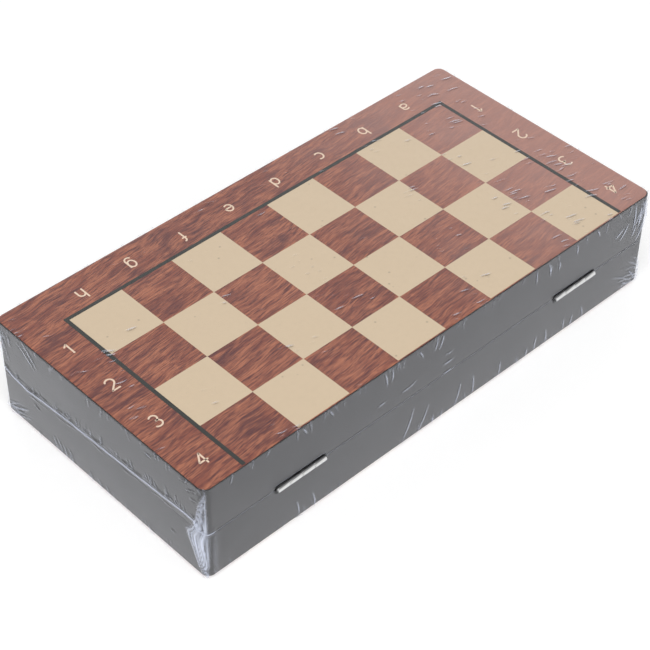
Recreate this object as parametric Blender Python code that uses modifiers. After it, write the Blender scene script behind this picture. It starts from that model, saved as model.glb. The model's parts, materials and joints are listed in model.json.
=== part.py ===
"""Folding chess set, closed and shrink-wrapped, built for Blender 4.5.

The case is two shallow trays joined by two butt hinges along one long side. Each tray is a painted
frame with a board panel let into it, a printed playing sheet outside and a felt lining inside. Four
magnets in the long rims opposite the hinges hold the case shut. Thirty-two turned chessmen lie in the
lower tray. A skin of shrink film covers each tray up to the parting line.

Metres, +Z up, +X along the long side, -Y the hinged side. The origin is the centre of the face that
the closed set lies on. Both trays are the same shape, so every tray piece is made once in a tray frame:
its origin is on the fold axis at mid length, +Y runs across the tray and -Z runs into it. The upper
tray is that shape turned half a turn about +Y.
"""

import math

import bmesh
import bpy
from mathutils import Matrix, Vector

# ---------------------------------------------------------------- driving dimensions
SQUARE = 0.025  # one square of the board
FILES = 8  # squares along the long side
RANKS = 4  # squares across one tray
BORDER = 0.8 * SQUARE  # margin round the squares, on three sides of a tray
TRAY_DEPTH = 0.0232  # parting plane to playing face

WALL = 0.008  # frame wall
CORNER_RADIUS = 0.0033  # upright corners of the case
CORNER_SEGMENTS = 8
SHEET = 0.0004  # printed playing sheet
SHEET_INSET = 0.0004  # painted rim left showing round the sheet
PANEL = 0.003  # board panel
REBATE = 0.004  # width of the ledge that the panel is glued to
LINING = 0.001  # felt
GLUE_GAP = 0.0001  # between glued faces
SIDE_GAP = 0.0003  # round a part let into another
RIM_GAP = 0.00015  # from each rim to the parting plane

FILM = 0.0003  # shrink film, drawn thicker than real film
FILM_AIR = 0.0003  # between film and case

HINGE_SPAN = 6 * SQUARE  # between the middles of the two hinges
HINGE_LENGTH = 0.024
HINGE_KNUCKLES = 4
KNUCKLE_RADIUS = 0.0011
KNUCKLE_GAP = 0.0001  # each end of a knuckle
KNUCKLE_BORE = 0.00065
PIN_RADIUS = 0.00055
FOLD_OFFSET = 0.0008  # fold axis outside the case wall, which clears the film when open
LEAF = 0.0008  # leaf thickness
LEAF_REACH = 0.0063  # from the case wall to the leaf's inner edge
LEAF_SETBACK = 0.0003  # between a leaf and the other leaf's knuckles
ROUND_SIDES = 16

SCREW_SPREAD = 0.014  # between the two screws of a leaf
SCREW_HEAD = 0.0013
SCREW_SHANK = 0.0007
SCREW_LENGTH = 0.0055
SCREW_GAP = 0.0001
SCREW_SIDES = 12
SCREW_SLOT = 0.0004  # width and depth of the driver slot

MAGNET_RADIUS = 0.0025
MAGNET_DEPTH = 0.0018
MAGNET_SPAN = 0.12

PIECE_SIDES = 12
PIECE_GAP = 0.0007  # between chessmen in a row
HINGE_SHARE = 0.25  # share of a row's spare length left at its hinge end

# ---------------------------------------------------------------- sizes that follow
CASE_LENGTH = FILES * SQUARE + 2 * BORDER
CASE_WIDTH = RANKS * SQUARE + BORDER
FOLD_HEIGHT = TRAY_DEPTH + FILM_AIR + FILM
FOLD_Y = -(CASE_WIDTH / 2 + FOLD_OFFSET)
TRAY_MIDDLE = FOLD_OFFSET + CASE_WIDTH / 2  # across the tray, in the tray frame
FRAME_END = TRAY_DEPTH - SHEET - GLUE_GAP  # depth of the frame's outer end
PANEL_START = FRAME_END - PANEL
LINING_START = PANEL_START - GLUE_GAP - LINING
BAY_LENGTH = CASE_LENGTH - 2 * WALL
BAY_WIDTH = CASE_WIDTH - 2 * WALL

# ---------------------------------------------------------------- turned profiles
# (radius, height) as shares of the base radius and of the piece's height, top to bottom.
PAWN = [(0, 1), (0.38, 0.97), (0.6, 0.85), (0.42, 0.7), (0.66, 0.64), (0.36, 0.57), (0.5, 0.27), (0.86, 0.2), (1, 0.13), (1, 0)]
ROOK = [(0, 1), (0.68, 1), (0.68, 0.78), (0.46, 0.7), (0.52, 0.32), (0.84, 0.25), (1, 0.15), (1, 0)]
BISHOP = [(0, 1), (0.16, 0.96), (0.5, 0.82), (0.48, 0.72), (0.34, 0.65), (0.62, 0.61), (0.36, 0.54), (0.48, 0.26), (0.86, 0.18), (1, 0.1), (1, 0)]
QUEEN = [(0, 1), (0.2, 0.96), (0.22, 0.92), (0.64, 0.9), (0.4, 0.7), (0.66, 0.66), (0.36, 0.58), (0.48, 0.24), (0.86, 0.17), (1, 0.09), (1, 0)]
KING = [(0, 0.9), (0.5, 0.87), (0.62, 0.83), (0.38, 0.65), (0.64, 0.61), (0.36, 0.54), (0.48, 0.22), (0.86, 0.15), (1, 0.08), (1, 0)]
KNIGHT_FOOT = [(0, 0.33), (0.62, 0.33), (0.74, 0.29), (0.86, 0.23), (1, 0.13), (1, 0)]

# name: (height, base radius, profile)
CHESSMEN = {
    "king": (0.052, 0.009, KING),
    "queen": (0.047, 0.00875, QUEEN),
    "bishop": (0.040, 0.00825, BISHOP),
    "knight": (0.035, 0.00825, KNIGHT_FOOT),
    "rook": (0.030, 0.008, ROOK),
    "pawn": (0.028, 0.00725, PAWN),
}

CROSS_ARM = 0.0058  # width of the king's cross
CROSS_BAR = 0.0016  # thickness of its bars
ROOK_NOTCH = 0.0024  # width of the gaps in a rook's battlement
ROOK_NOTCH_DEPTH = 0.0034
KNIGHT_THICKNESS = 0.0088
# Horse's head and neck seen from its side, nose towards +X: (across, up) as shares of the knight's height.
KNIGHT_OUTLINE = [
    (-0.15, 0.24), (-0.18, 0.42), (-0.17, 0.58), (-0.12, 0.74), (-0.05, 0.86), (0.0, 1.0), (0.06, 0.9),
    (0.13, 0.83), (0.21, 0.7), (0.225, 0.6), (0.18, 0.54), (0.09, 0.59), (0.03, 0.55), (0.07, 0.44),
    (0.14, 0.34), (0.15, 0.24),
]

# Chessmen of one colour in the lower tray, a row across the tray for each entry.
ROWS = [
    ["king", "queen"],
    ["bishop", "rook", "pawn"],
    ["bishop", "rook", "pawn"],
    ["knight", "knight", "pawn"],
    ["pawn", "pawn", "pawn"],
    ["pawn", "pawn"],
]


# ---------------------------------------------------------------- scene helpers
def clear_scene():
    for obj in list(bpy.data.objects):
        bpy.data.objects.remove(obj, do_unlink=True)


def make_collection(name):
    collection = bpy.data.collections.new(name)
    bpy.context.scene.collection.children.link(collection)
    return collection


def make_material(name, colour, roughness, metallic=0.0, alpha=1.0):
    material = bpy.data.materials.new(name)
    material.use_nodes = True
    shader = material.node_tree.nodes["Principled BSDF"]
    shader.inputs["Base Color"].default_value = (*colour, 1.0)
    shader.inputs["Roughness"].default_value = roughness
    shader.inputs["Metallic"].default_value = metallic
    shader.inputs["Alpha"].default_value = alpha
    return material


def place(mesh, name, collection, material, parent=None, location=(0, 0, 0), rotation=(0, 0, 0)):
    """A named object that shows mesh in its own material."""
    obj = bpy.data.objects.new(name, mesh)
    collection.objects.link(obj)
    obj.parent = parent
    obj.location = location
    obj.rotation_euler = rotation
    if not mesh.materials:
        mesh.materials.append(None)
    obj.material_slots[0].link = "OBJECT"
    obj.material_slots[0].material = material
    return obj


def helper(mesh, location=(0, 0, 0), rotation=(0, 0, 0)):
    """A hidden object for a Boolean to cut with or join."""
    obj = bpy.data.objects.new("cutter", mesh)
    bpy.data.collections["cutters"].objects.link(obj)
    obj.location = location
    obj.rotation_euler = rotation
    obj.hide_render = True
    obj.display_type = "WIRE"
    return obj


def combine(mesh, joins=(), cuts=()):
    """One mesh: mesh with the joins united to it and then the cuts taken away. Uses the helpers up."""
    base = helper(mesh)
    for operation, others in (("UNION", joins), ("DIFFERENCE", cuts)):
        for other in others:
            modifier = base.modifiers.new(operation.lower(), "BOOLEAN")
            modifier.operation = operation
            modifier.solver = "EXACT"
            modifier.object = other
    graph = bpy.context.evaluated_depsgraph_get()
    made = bpy.data.meshes.new_from_object(base.evaluated_get(graph))
    for obj in (base, *joins, *cuts):
        bpy.data.objects.remove(obj, do_unlink=True)
    return made


def mesh_from(bm, name):
    mesh = bpy.data.meshes.new(name)
    bm.to_mesh(mesh)
    bm.free()
    return mesh


def smooth(mesh, angle=40):
    mesh.shade_smooth()
    mesh.set_sharp_from_angle(angle=math.radians(angle))
    return mesh


# ---------------------------------------------------------------- shapes
def block(name, low, high, radius=0.0, segments=CORNER_SEGMENTS, open_top=False):
    """A box between two corners, its upright edges rounded, and without its top face if open_top."""
    bm = bmesh.new()
    bmesh.ops.create_cube(bm, size=1)
    low, high = Vector(low), Vector(high)
    for vert in bm.verts:
        vert.co = Vector([(low[i] + high[i]) / 2 + vert.co[i] * (high[i] - low[i]) for i in range(3)])
    if radius:
        upright = [e for e in bm.edges if abs(e.verts[0].co.z - e.verts[1].co.z) > 1e-9]
        bmesh.ops.bevel(bm, geom=upright, offset=radius, segments=segments, profile=0.5, affect="EDGES")
    if open_top:
        top = [f for f in bm.faces if f.normal.z > 0.9]
        bmesh.ops.delete(bm, geom=top, context="FACES_ONLY")
    return mesh_from(bm, name)


def plate(name, depth_from, depth_to, length, width, radius, **more):
    """A block centred on the tray, between two depths below the parting plane."""
    return block(
        name,
        (-length / 2, TRAY_MIDDLE - width / 2, -depth_to),
        (length / 2, TRAY_MIDDLE + width / 2, -depth_from),
        radius,
        **more,
    )


def rod(name, radius, length, sides=ROUND_SIDES, along="Z"):
    """A cylinder centred on its origin."""
    bm = bmesh.new()
    bmesh.ops.create_cone(
        bm, cap_ends=True, cap_tris=False, segments=sides, radius1=radius, radius2=radius, depth=length
    )
    if along == "X":
        bmesh.ops.rotate(bm, verts=bm.verts, cent=(0, 0, 0), matrix=Matrix.Rotation(math.pi / 2, 3, "Y"))
    return mesh_from(bm, name)


def turned(name, profile, sides):
    """A solid of revolution about +Z from a profile of (radius, height), top to bottom."""
    bm = bmesh.new()
    verts = [bm.verts.new((radius, 0, height)) for radius, height in profile]
    for upper, lower in zip(verts, verts[1:]):
        bm.edges.new((upper, lower))
    obj = helper(mesh_from(bm, name))
    screw = obj.modifiers.new("turn", "SCREW")
    screw.steps = screw.render_steps = sides
    screw.use_merge_vertices = True
    screw.merge_threshold = 0.00001
    graph = bpy.context.evaluated_depsgraph_get()
    made = bpy.data.meshes.new_from_object(obj.evaluated_get(graph))
    bpy.data.objects.remove(obj, do_unlink=True)
    return made


def outline_solid(name, points, thickness):
    """A flat outline in XZ given thickness along Y, as a mesh."""
    curve = bpy.data.curves.new(name, "CURVE")
    curve.dimensions = "2D"
    curve.fill_mode = "BOTH"
    curve.extrude = thickness / 2
    spline = curve.splines.new("POLY")
    spline.points.add(len(points) - 1)
    for point, (across, up) in zip(spline.points, points):
        point.co = (across, up, 0, 1)
    spline.use_cyclic_u = True
    obj = helper(curve)
    graph = bpy.context.evaluated_depsgraph_get()
    made = bpy.data.meshes.new_from_object(obj.evaluated_get(graph))
    bpy.data.objects.remove(obj, do_unlink=True)
    bm = bmesh.new()
    bm.from_mesh(made)
    bmesh.ops.remove_doubles(bm, verts=bm.verts, dist=0.00001)
    bmesh.ops.rotate(bm, verts=bm.verts, cent=(0, 0, 0), matrix=Matrix.Rotation(math.pi / 2, 3, "X"))
    bmesh.ops.recalc_face_normals(bm, faces=bm.faces)
    bm.to_mesh(made)
    bm.free()
    return made


# ---------------------------------------------------------------- places along the rims
def hinge_centres():
    return {"left": -HINGE_SPAN / 2, "right": HINGE_SPAN / 2}


def magnet_centres():
    y = TRAY_MIDDLE + CASE_WIDTH / 2 - WALL / 2
    return {"left": (-MAGNET_SPAN / 2, y), "right": (MAGNET_SPAN / 2, y)}


def screw_places():
    """Screw centres on a leaf, measured from the hinge's middle on the fold axis."""
    y = FOLD_OFFSET + (KNUCKLE_RADIUS + LEAF_SETBACK - FOLD_OFFSET + LEAF_REACH) / 2
    return [(-SCREW_SPREAD / 2, y), (SCREW_SPREAD / 2, y)]


def knuckle_range(index):
    step = HINGE_LENGTH / HINGE_KNUCKLES
    start = -HINGE_LENGTH / 2 + index * step
    return start + KNUCKLE_GAP, start + step - KNUCKLE_GAP


# ---------------------------------------------------------------- tray pieces
def frame_mesh():
    """The painted frame: a ring with a rebate for the panel, leaf recesses, screw holes and magnet pockets."""
    ring = plate("frame", RIM_GAP, FRAME_END, CASE_LENGTH, CASE_WIDTH, CORNER_RADIUS)
    past = 0.001  # how far a cutter runs past a face
    cuts = [
        helper(plate("bay", -past, TRAY_DEPTH + past, BAY_LENGTH, BAY_WIDTH, 0.0015, segments=2)),
        helper(
            plate(
                "rebate",
                PANEL_START - GLUE_GAP,
                TRAY_DEPTH + past,
                BAY_LENGTH + 2 * REBATE,
                BAY_WIDTH + 2 * REBATE,
                0.0015,
                segments=2,
            )
        ),
    ]
    for middle in hinge_centres().values():
        half = HINGE_LENGTH / 2 + SIDE_GAP
        recess_low = (middle - half, FOLD_OFFSET - past, -(RIM_GAP + LEAF + GLUE_GAP))
        recess_high = (middle + half, FOLD_OFFSET + LEAF_REACH + SIDE_GAP, past)
        cuts.append(helper(block("leaf_recess", recess_low, recess_high)))
        groove = rod("knuckle_groove", KNUCKLE_RADIUS + SIDE_GAP, 2 * half, along="X")
        cuts.append(helper(groove, (middle, 0, 0)))
        for x, y in screw_places():
            hole = rod("screw_hole", SCREW_SHANK + SCREW_GAP, 2 * (SCREW_LENGTH + 0.0006), SCREW_SIDES)
            cuts.append(helper(hole, (middle + x, y, 0)))
    for x, y in magnet_centres().values():
        pocket = rod("magnet_pocket", MAGNET_RADIUS + GLUE_GAP, 2 * (RIM_GAP + MAGNET_DEPTH + GLUE_GAP))
        cuts.append(helper(pocket, (x, y, 0)))
    return smooth(combine(ring, cuts=cuts), 30)


def leaf_mesh():
    """One hinge leaf with every second knuckle. The other leaf is this shape turned half a turn about +Y."""
    top, bottom = -RIM_GAP, -(RIM_GAP + LEAF)
    start = KNUCKLE_RADIUS + LEAF_SETBACK
    flat = block(
        "leaf", (-HINGE_LENGTH / 2, start, bottom), (HINGE_LENGTH / 2, FOLD_OFFSET + LEAF_REACH, top)
    )
    joins = []
    for index in range(0, HINGE_KNUCKLES, 2):
        low, high = knuckle_range(index)
        joins.append(helper(block("tab", (low, 0, bottom), (high, start + 0.0005, top))))
        knuckle = rod("knuckle", KNUCKLE_RADIUS, high - low, along="X")
        joins.append(helper(knuckle, ((low + high) / 2, 0, 0)))
    cuts = [helper(rod("bore", KNUCKLE_BORE, HINGE_LENGTH + 0.002, along="X"))]
    for x, y in screw_places():
        sink = [
            (0, 0.0005),
            (SCREW_HEAD + SCREW_GAP + 0.0005, 0.0005),
            (SCREW_SHANK + SCREW_GAP, -(SCREW_HEAD - SCREW_SHANK)),
            (SCREW_SHANK + SCREW_GAP, -0.002),
            (0, -0.002),
        ]
        cuts.append(helper(turned("countersink", sink, SCREW_SIDES), (x, y, top)))
    return smooth(combine(flat, joins, cuts), 30)


def screw_mesh():
    """A slotted countersunk wood screw, its head flush with its origin."""
    sink = SCREW_HEAD - SCREW_SHANK
    profile = [
        (0, 0),
        (SCREW_HEAD - SCREW_GAP, 0),
        (SCREW_SHANK, -sink),
        (SCREW_SHANK, -(SCREW_LENGTH - 0.0012)),
        (0, -SCREW_LENGTH),
    ]
    long, half = 2 * SCREW_HEAD, SCREW_SLOT / 2
    slot = helper(block("slot", (-long, -half, -SCREW_SLOT), (long, half, SCREW_SLOT)))
    return smooth(combine(turned("screw", profile, SCREW_SIDES), cuts=[slot]), 30)


def film_mesh():
    """The shrink film over one tray, closed outside and open at the parting line, with a window at each hinge."""
    skin = plate(
        "film",
        RIM_GAP,
        TRAY_DEPTH + FILM_AIR,
        CASE_LENGTH + 2 * FILM_AIR,
        CASE_WIDTH + 2 * FILM_AIR,
        CORNER_RADIUS + FILM_AIR,
        open_top=True,
    )
    shell = helper(skin)
    solidify = shell.modifiers.new("thickness", "SOLIDIFY")
    solidify.thickness = FILM
    solidify.offset = 1
    solidify.use_even_offset = True
    graph = bpy.context.evaluated_depsgraph_get()
    solid = bpy.data.meshes.new_from_object(shell.evaluated_get(graph))
    bpy.data.objects.remove(shell, do_unlink=True)
    windows = []
    for middle in hinge_centres().values():
        half = HINGE_LENGTH / 2 + 2 * SIDE_GAP
        low = (middle - half, FOLD_OFFSET - FILM_AIR - FILM - 0.001, -(KNUCKLE_RADIUS + 2 * SIDE_GAP))
        high = (middle + half, FOLD_OFFSET + 0.0001, 0.001)
        windows.append(helper(block("hinge_window", low, high)))
    return smooth(combine(solid, cuts=windows), 30)


def tray_meshes():
    sheet_length, sheet_width = CASE_LENGTH - 2 * SHEET_INSET, CASE_WIDTH - 2 * SHEET_INSET
    panel_length = BAY_LENGTH + 2 * (REBATE - SIDE_GAP)
    panel_width = BAY_WIDTH + 2 * (REBATE - SIDE_GAP)
    sheet = plate("sheet", TRAY_DEPTH - SHEET, TRAY_DEPTH, sheet_length, sheet_width, CORNER_RADIUS)
    panel = plate("panel", PANEL_START, FRAME_END, panel_length, panel_width, 0.0015, segments=2)
    lining = plate(
        "lining",
        LINING_START,
        LINING_START + LINING,
        BAY_LENGTH - 2 * SIDE_GAP,
        BAY_WIDTH - 2 * SIDE_GAP,
        0.0015,
        segments=2,
    )
    return {
        "frame": frame_mesh(),
        "panel": panel,
        "playing_sheet": sheet,
        "lining": lining,
        "shrink_film": film_mesh(),
    }


# ---------------------------------------------------------------- chessmen
def piece_mesh(kind):
    """A chessman standing on its origin."""
    height, base, shares = CHESSMEN[kind]
    profile = [(r * base, z * height) for r, z in shares] + [(0, 0)]
    body = turned(kind, profile, PIECE_SIDES)
    joins, cuts = [], []
    if kind == "king":
        foot, bar = 0.88 * height, CROSS_BAR / 2
        arm_height = 0.955 * height
        joins = [
            helper(block("upright", (-bar, -bar, foot), (bar, bar, height))),
            helper(
                block(
                    "arms",
                    (-CROSS_ARM / 2, -bar, arm_height - bar),
                    (CROSS_ARM / 2, bar, arm_height + bar),
                )
            ),
        ]
    if kind == "rook":
        long, half = 2 * base, ROOK_NOTCH / 2
        bottom = height - ROOK_NOTCH_DEPTH
        cuts = [
            helper(rod("well", 0.42 * base, 2 * ROOK_NOTCH_DEPTH, PIECE_SIDES), (0, 0, height)),
            helper(block("notch", (-long, -half, bottom), (long, half, height + half))),
            helper(block("notch", (-half, -long, bottom), (half, long, height + half))),
        ]
    if kind == "knight":
        outline = [(across * height, up * height) for across, up in KNIGHT_OUTLINE]
        joins = [helper(outline_solid("head", outline, KNIGHT_THICKNESS))]
    return smooth(combine(body, joins, cuts))


def side_outline(kind):
    """(half thickness, height) down the chessman's side, as it lies on that side."""
    height, base, shares = CHESSMEN[kind]
    points = [(r * base, z * height) for r, z in shares]
    if kind == "knight":
        points.append((KNIGHT_THICKNESS / 2, height))
    if kind == "king":
        points.append((CROSS_BAR / 2, height))
    return points


def lying_angle(kind):
    """How far a chessman's head drops when it lies down, until it touches beside its base."""
    base = CHESSMEN[kind][1]
    points = side_outline(kind)
    rim = max(z for r, z in points if r > 0.999 * base)
    return min(math.atan2(base - r, z - rim) for r, z in points if z > rim)


def lying_extent(kind, angle):
    """(behind the base's centre, ahead of it, below the axis) for a chessman that lies at an angle."""
    points = side_outline(kind)
    behind = max(r * math.sin(angle) - z * math.cos(angle) for r, z in points)
    ahead = max(r * math.sin(angle) + z * math.cos(angle) for r, z in points)
    below = max(r * math.cos(angle) + z * math.sin(angle) for r, z in points)
    return behind, ahead, below


def row_pitches():
    """Middle of each row of chessmen along the tray, from one end wall to its middle."""
    widths = [2 * max(CHESSMEN[kind][1] for kind in row) for row in ROWS]
    gap = (BAY_LENGTH / 2 - sum(widths)) / (len(ROWS) + 0.5)
    middles, start = [], -BAY_LENGTH / 2 + gap
    for width in widths:
        middles.append(start + width / 2)
        start += width + gap
    return middles


def lay_chessmen(parent, collection, materials):
    """Both colours in the lower tray, the light ones in its left half and the dark ones mirrored in its right."""
    meshes = {kind: piece_mesh(kind) for kind in CHESSMEN}
    floor = -(LINING_START - GLUE_GAP)
    for colour, side in (("light", 1), ("dark", -1)):
        made = dict.fromkeys(CHESSMEN, 0)
        for row, middle in zip(ROWS, row_pitches()):
            sizes = [lying_extent(kind, lying_angle(kind)) for kind in row]
            used = sum(behind + ahead for behind, ahead, _ in sizes) + PIECE_GAP * (len(row) - 1)
            cursor = TRAY_MIDDLE - BAY_WIDTH / 2 + HINGE_SHARE * (BAY_WIDTH - used)
            for kind, (behind, ahead, below) in zip(row, sizes):
                made[kind] += 1
                single = kind in ("king", "queen")
                name = f"{colour}_{kind}" if single else f"{colour}_{kind}_{made[kind]}"
                place(
                    meshes[kind],
                    name,
                    collection,
                    materials[colour],
                    parent,
                    location=(side * middle, cursor + behind, floor + below),
                    rotation=(-(math.pi / 2 + lying_angle(kind)), 0, 0),
                )
                cursor += behind + ahead + PIECE_GAP


# ---------------------------------------------------------------- assembly
def build():
    clear_scene()
    chess_set = make_collection("chess_set")
    make_collection("cutters")
    materials = {
        "frame": make_material("black_paint", (0.022, 0.022, 0.024), 0.45),
        "panel": make_material("panel_board", (0.36, 0.24, 0.14), 0.75),
        "playing_sheet": make_material("printed_sheet", (0.30, 0.10, 0.06), 0.4),
        "lining": make_material("felt", (0.02, 0.09, 0.05), 0.95),
        "shrink_film": make_material("clear_film", (0.85, 0.87, 0.9), 0.1, alpha=0.2),
        "hinge": make_material("nickel_plate", (0.72, 0.72, 0.70), 0.3, metallic=1.0),
        "screw": make_material("zinc_plate", (0.62, 0.62, 0.6), 0.35, metallic=1.0),
        "magnet": make_material("magnet_plate", (0.66, 0.66, 0.67), 0.22, metallic=1.0),
        "light": make_material("light_wood", (0.66, 0.45, 0.22), 0.4),
        "dark": make_material("dark_wood", (0.06, 0.028, 0.016), 0.35),
    }
    meshes = tray_meshes()
    leaf, screw = leaf_mesh(), screw_mesh()
    magnet = smooth(rod("magnet", MAGNET_RADIUS, MAGNET_DEPTH))
    pin = smooth(rod("pin", PIN_RADIUS, HINGE_LENGTH, along="X"))

    trays = {}
    for tray, turn in (("lower", 0.0), ("upper", math.pi)):
        axis = bpy.data.objects.new(f"{tray}_tray", None)
        chess_set.objects.link(axis)
        axis.location = (0, FOLD_Y, FOLD_HEIGHT)
        axis.rotation_euler = (0, turn, 0)
        trays[tray] = axis
        for piece, mesh in meshes.items():
            place(mesh, f"{tray}_{piece}", chess_set, materials[piece], axis)
        for side, (x, y) in magnet_centres().items():
            where = (x, y, -(RIM_GAP + MAGNET_DEPTH / 2))
            place(magnet, f"{tray}_magnet_{side}", chess_set, materials["magnet"], axis, where)
        for side, middle in hinge_centres().items():
            name = f"{tray}_{side}_hinge"
            place(leaf, f"{name}_leaf", chess_set, materials["hinge"], axis, (middle, 0, 0))
            for number, (x, y) in enumerate(screw_places(), 1):
                where = (middle + x, y, -RIM_GAP)
                place(screw, f"{name}_screw_{number}", chess_set, materials["screw"], axis, where)
    for side, middle in hinge_centres().items():
        place(pin, f"{side}_hinge_pin", chess_set, materials["hinge"], trays["lower"], (middle, 0, 0))
    lay_chessmen(trays["lower"], chess_set, materials)


build()
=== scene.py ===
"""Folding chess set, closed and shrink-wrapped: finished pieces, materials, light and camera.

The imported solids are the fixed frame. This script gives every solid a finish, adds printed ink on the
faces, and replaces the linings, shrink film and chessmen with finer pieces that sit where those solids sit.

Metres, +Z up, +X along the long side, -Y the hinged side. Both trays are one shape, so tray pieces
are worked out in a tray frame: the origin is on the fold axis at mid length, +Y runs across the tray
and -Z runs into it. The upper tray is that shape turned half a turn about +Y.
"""

import json
import logging
import math
from collections.abc import Callable
from dataclasses import dataclass, field
from enum import Enum

import bmesh
import bpy
import numpy as np
from mathutils import Matrix, Vector


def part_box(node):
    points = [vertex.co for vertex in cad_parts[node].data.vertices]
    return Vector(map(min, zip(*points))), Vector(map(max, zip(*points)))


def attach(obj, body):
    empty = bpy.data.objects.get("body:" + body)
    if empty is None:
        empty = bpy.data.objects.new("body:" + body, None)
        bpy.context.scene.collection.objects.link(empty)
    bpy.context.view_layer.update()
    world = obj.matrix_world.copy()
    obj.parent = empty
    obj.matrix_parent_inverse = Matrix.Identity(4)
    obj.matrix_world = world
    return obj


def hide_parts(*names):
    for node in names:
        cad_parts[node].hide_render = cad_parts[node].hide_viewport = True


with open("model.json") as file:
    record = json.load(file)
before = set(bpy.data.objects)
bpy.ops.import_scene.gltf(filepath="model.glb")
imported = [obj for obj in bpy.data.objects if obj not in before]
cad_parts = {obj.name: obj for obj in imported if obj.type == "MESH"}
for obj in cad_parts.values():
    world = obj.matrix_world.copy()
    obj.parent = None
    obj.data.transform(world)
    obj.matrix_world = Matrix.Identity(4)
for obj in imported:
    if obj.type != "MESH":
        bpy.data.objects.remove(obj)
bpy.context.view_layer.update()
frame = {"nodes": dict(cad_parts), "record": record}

LOG = logging.getLogger("chess_set")
Array = np.ndarray
Surface = tuple[Array, Array]  # points, and quads of point numbers
Colour = tuple[float, float, float]

FOLD = frame["record"]["behaviour"]["joints"][0]["pos_m"]
SQUARE = 0.025
FILES = 8
RANKS = 4
BORDER = 0.8 * SQUARE
CASE_LENGTH = FILES * SQUARE + 2 * BORDER
CASE_WIDTH = RANKS * SQUARE + BORDER
CASE_CORNER = 0.0033
FOLD_OFFSET = 0.0008  # fold axis outside the case wall
TRAY_DEPTH = 0.0232  # parting plane to printed face
TRAY_MIDDLE = FOLD_OFFSET + CASE_WIDTH / 2


# ---------------------------------------------------------------- meshes
def bell(values: Array, middle: float = 0.0, width: float = 1.0) -> Array:
    """A bell curve: 1 at the middle and about a third one width away."""
    return np.exp(-(((values - middle) / width) ** 2))


def circle(count: int) -> Array:
    """Evenly spaced angles of a full turn."""
    return np.linspace(0, 2 * np.pi, count, endpoint=False)


def link_object(name: str, data: bpy.types.ID) -> bpy.types.Object:
    """A new object on some data, linked to the scene.

    Args:
        name: the object's name.
        data: its mesh, camera or lamp.
    Returns:
        The object.
    """
    piece = bpy.data.objects.new(name, data)
    bpy.context.scene.collection.objects.link(piece)
    return piece


def grid_quads(rows: int, columns: int, wrap: bool = False) -> Array:
    """Quads between neighbouring points of a grid stored row by row.

    Args:
        rows: number of rows of points.
        columns: number of points in a row.
        wrap: whether the last column joins the first.
    Returns:
        An array of shape (faces, 4) of point numbers.
    """
    row, column = np.meshgrid(
        np.arange(rows - 1), np.arange(columns if wrap else columns - 1), indexing="ij"
    )
    right = (column + 1) % columns
    corners = (
        row * columns + column,
        row * columns + right,
        (row + 1) * columns + right,
        (row + 1) * columns + column,
    )
    return np.stack(corners, -1).reshape(-1, 4)


def joined(parts: list[Surface]) -> Surface:
    """Several (points, quads) surfaces as one, the point numbers moved on by those before.

    Args:
        parts: the surfaces.
    Returns:
        One surface.
    """
    starts = np.cumsum([0] + [len(points) for points, _ in parts])
    quads = [faces + start for (_, faces), start in zip(parts, starts)]
    return np.concatenate([points for points, _ in parts]), np.concatenate(quads)


def closed_tube(rings: Array) -> Surface:
    """A closed surface through rings of points, each end drawn in to its middle.

    Args:
        rings: shape (rings, points in a ring, 3); the points run anticlockwise seen from the last ring.
    Returns:
        Points and quads, in which the end caps are quads that close on one point.
    """
    first = np.broadcast_to(rings[:1].mean(1, keepdims=True), rings[:1].shape)
    last = np.broadcast_to(rings[-1:].mean(1, keepdims=True), rings[-1:].shape)
    full = np.concatenate([first, rings, last])
    return full.reshape(-1, 3), grid_quads(len(full), rings.shape[1], wrap=True)


def make_object(
    name: str,
    surface: Surface,
    material: bpy.types.Material,
    sharp: float = 40.0,
    masks: dict[str, Array] | None = None,
    closed: bool = True,
) -> bpy.types.Object:
    """A mesh object from points and quads.

    Args:
        name: the piece's name.
        surface: the shape; quads with equal corners become triangles.
        material: its only material.
        sharp: the angle in degrees past which an edge stays sharp.
        masks: values at the points, kept as attributes under these names.
        closed: whether the surface encloses its solids, so that its faces can be turned outwards.
    Returns:
        The object, linked to the scene.
    """
    points, quads = surface
    mesh = bpy.data.meshes.new(name)
    mesh.from_pydata(points.tolist(), [], quads.tolist())
    for label, values in (masks or {}).items():
        layer = mesh.attributes.new(label, "FLOAT", "POINT")
        layer.data.foreach_set("value", values.astype(np.float32).ravel())
    mesh.validate(clean_customdata=False)
    weld(mesh, closed)
    mesh.shade_smooth()
    mesh.set_sharp_from_angle(angle=math.radians(sharp))
    mesh.materials.append(material)
    return link_object(name, mesh)


def weld(mesh: bpy.types.Mesh, closed: bool, reach: float = 1e-7) -> None:
    """Merges points that lie on each other, which closes poles and seams.

    Args:
        mesh: the mesh to mend.
        closed: whether its faces are then turned outwards.
        reach: how near points have to lie to be merged.
    """
    work = bmesh.new()
    work.from_mesh(mesh)
    bmesh.ops.remove_doubles(work, verts=work.verts, dist=reach)
    bmesh.ops.dissolve_degenerate(work, edges=work.edges, dist=reach)
    if closed:
        bmesh.ops.recalc_face_normals(work, faces=work.faces)
    work.to_mesh(mesh)
    work.free()


def finish_piece(piece: bpy.types.Object, body: str, nodes: tuple[str, ...] = ()) -> None:
    """Puts a piece on its body, hides the solids that it stands for, and reports it.

    Args:
        piece: the piece.
        body: the body it moves with.
        nodes: the solids it stands for.
    """
    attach(piece, body)
    if nodes:
        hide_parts(*nodes)
    LOG.info("%s: %d faces, on %s", piece.name, len(piece.data.polygons), body)


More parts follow.
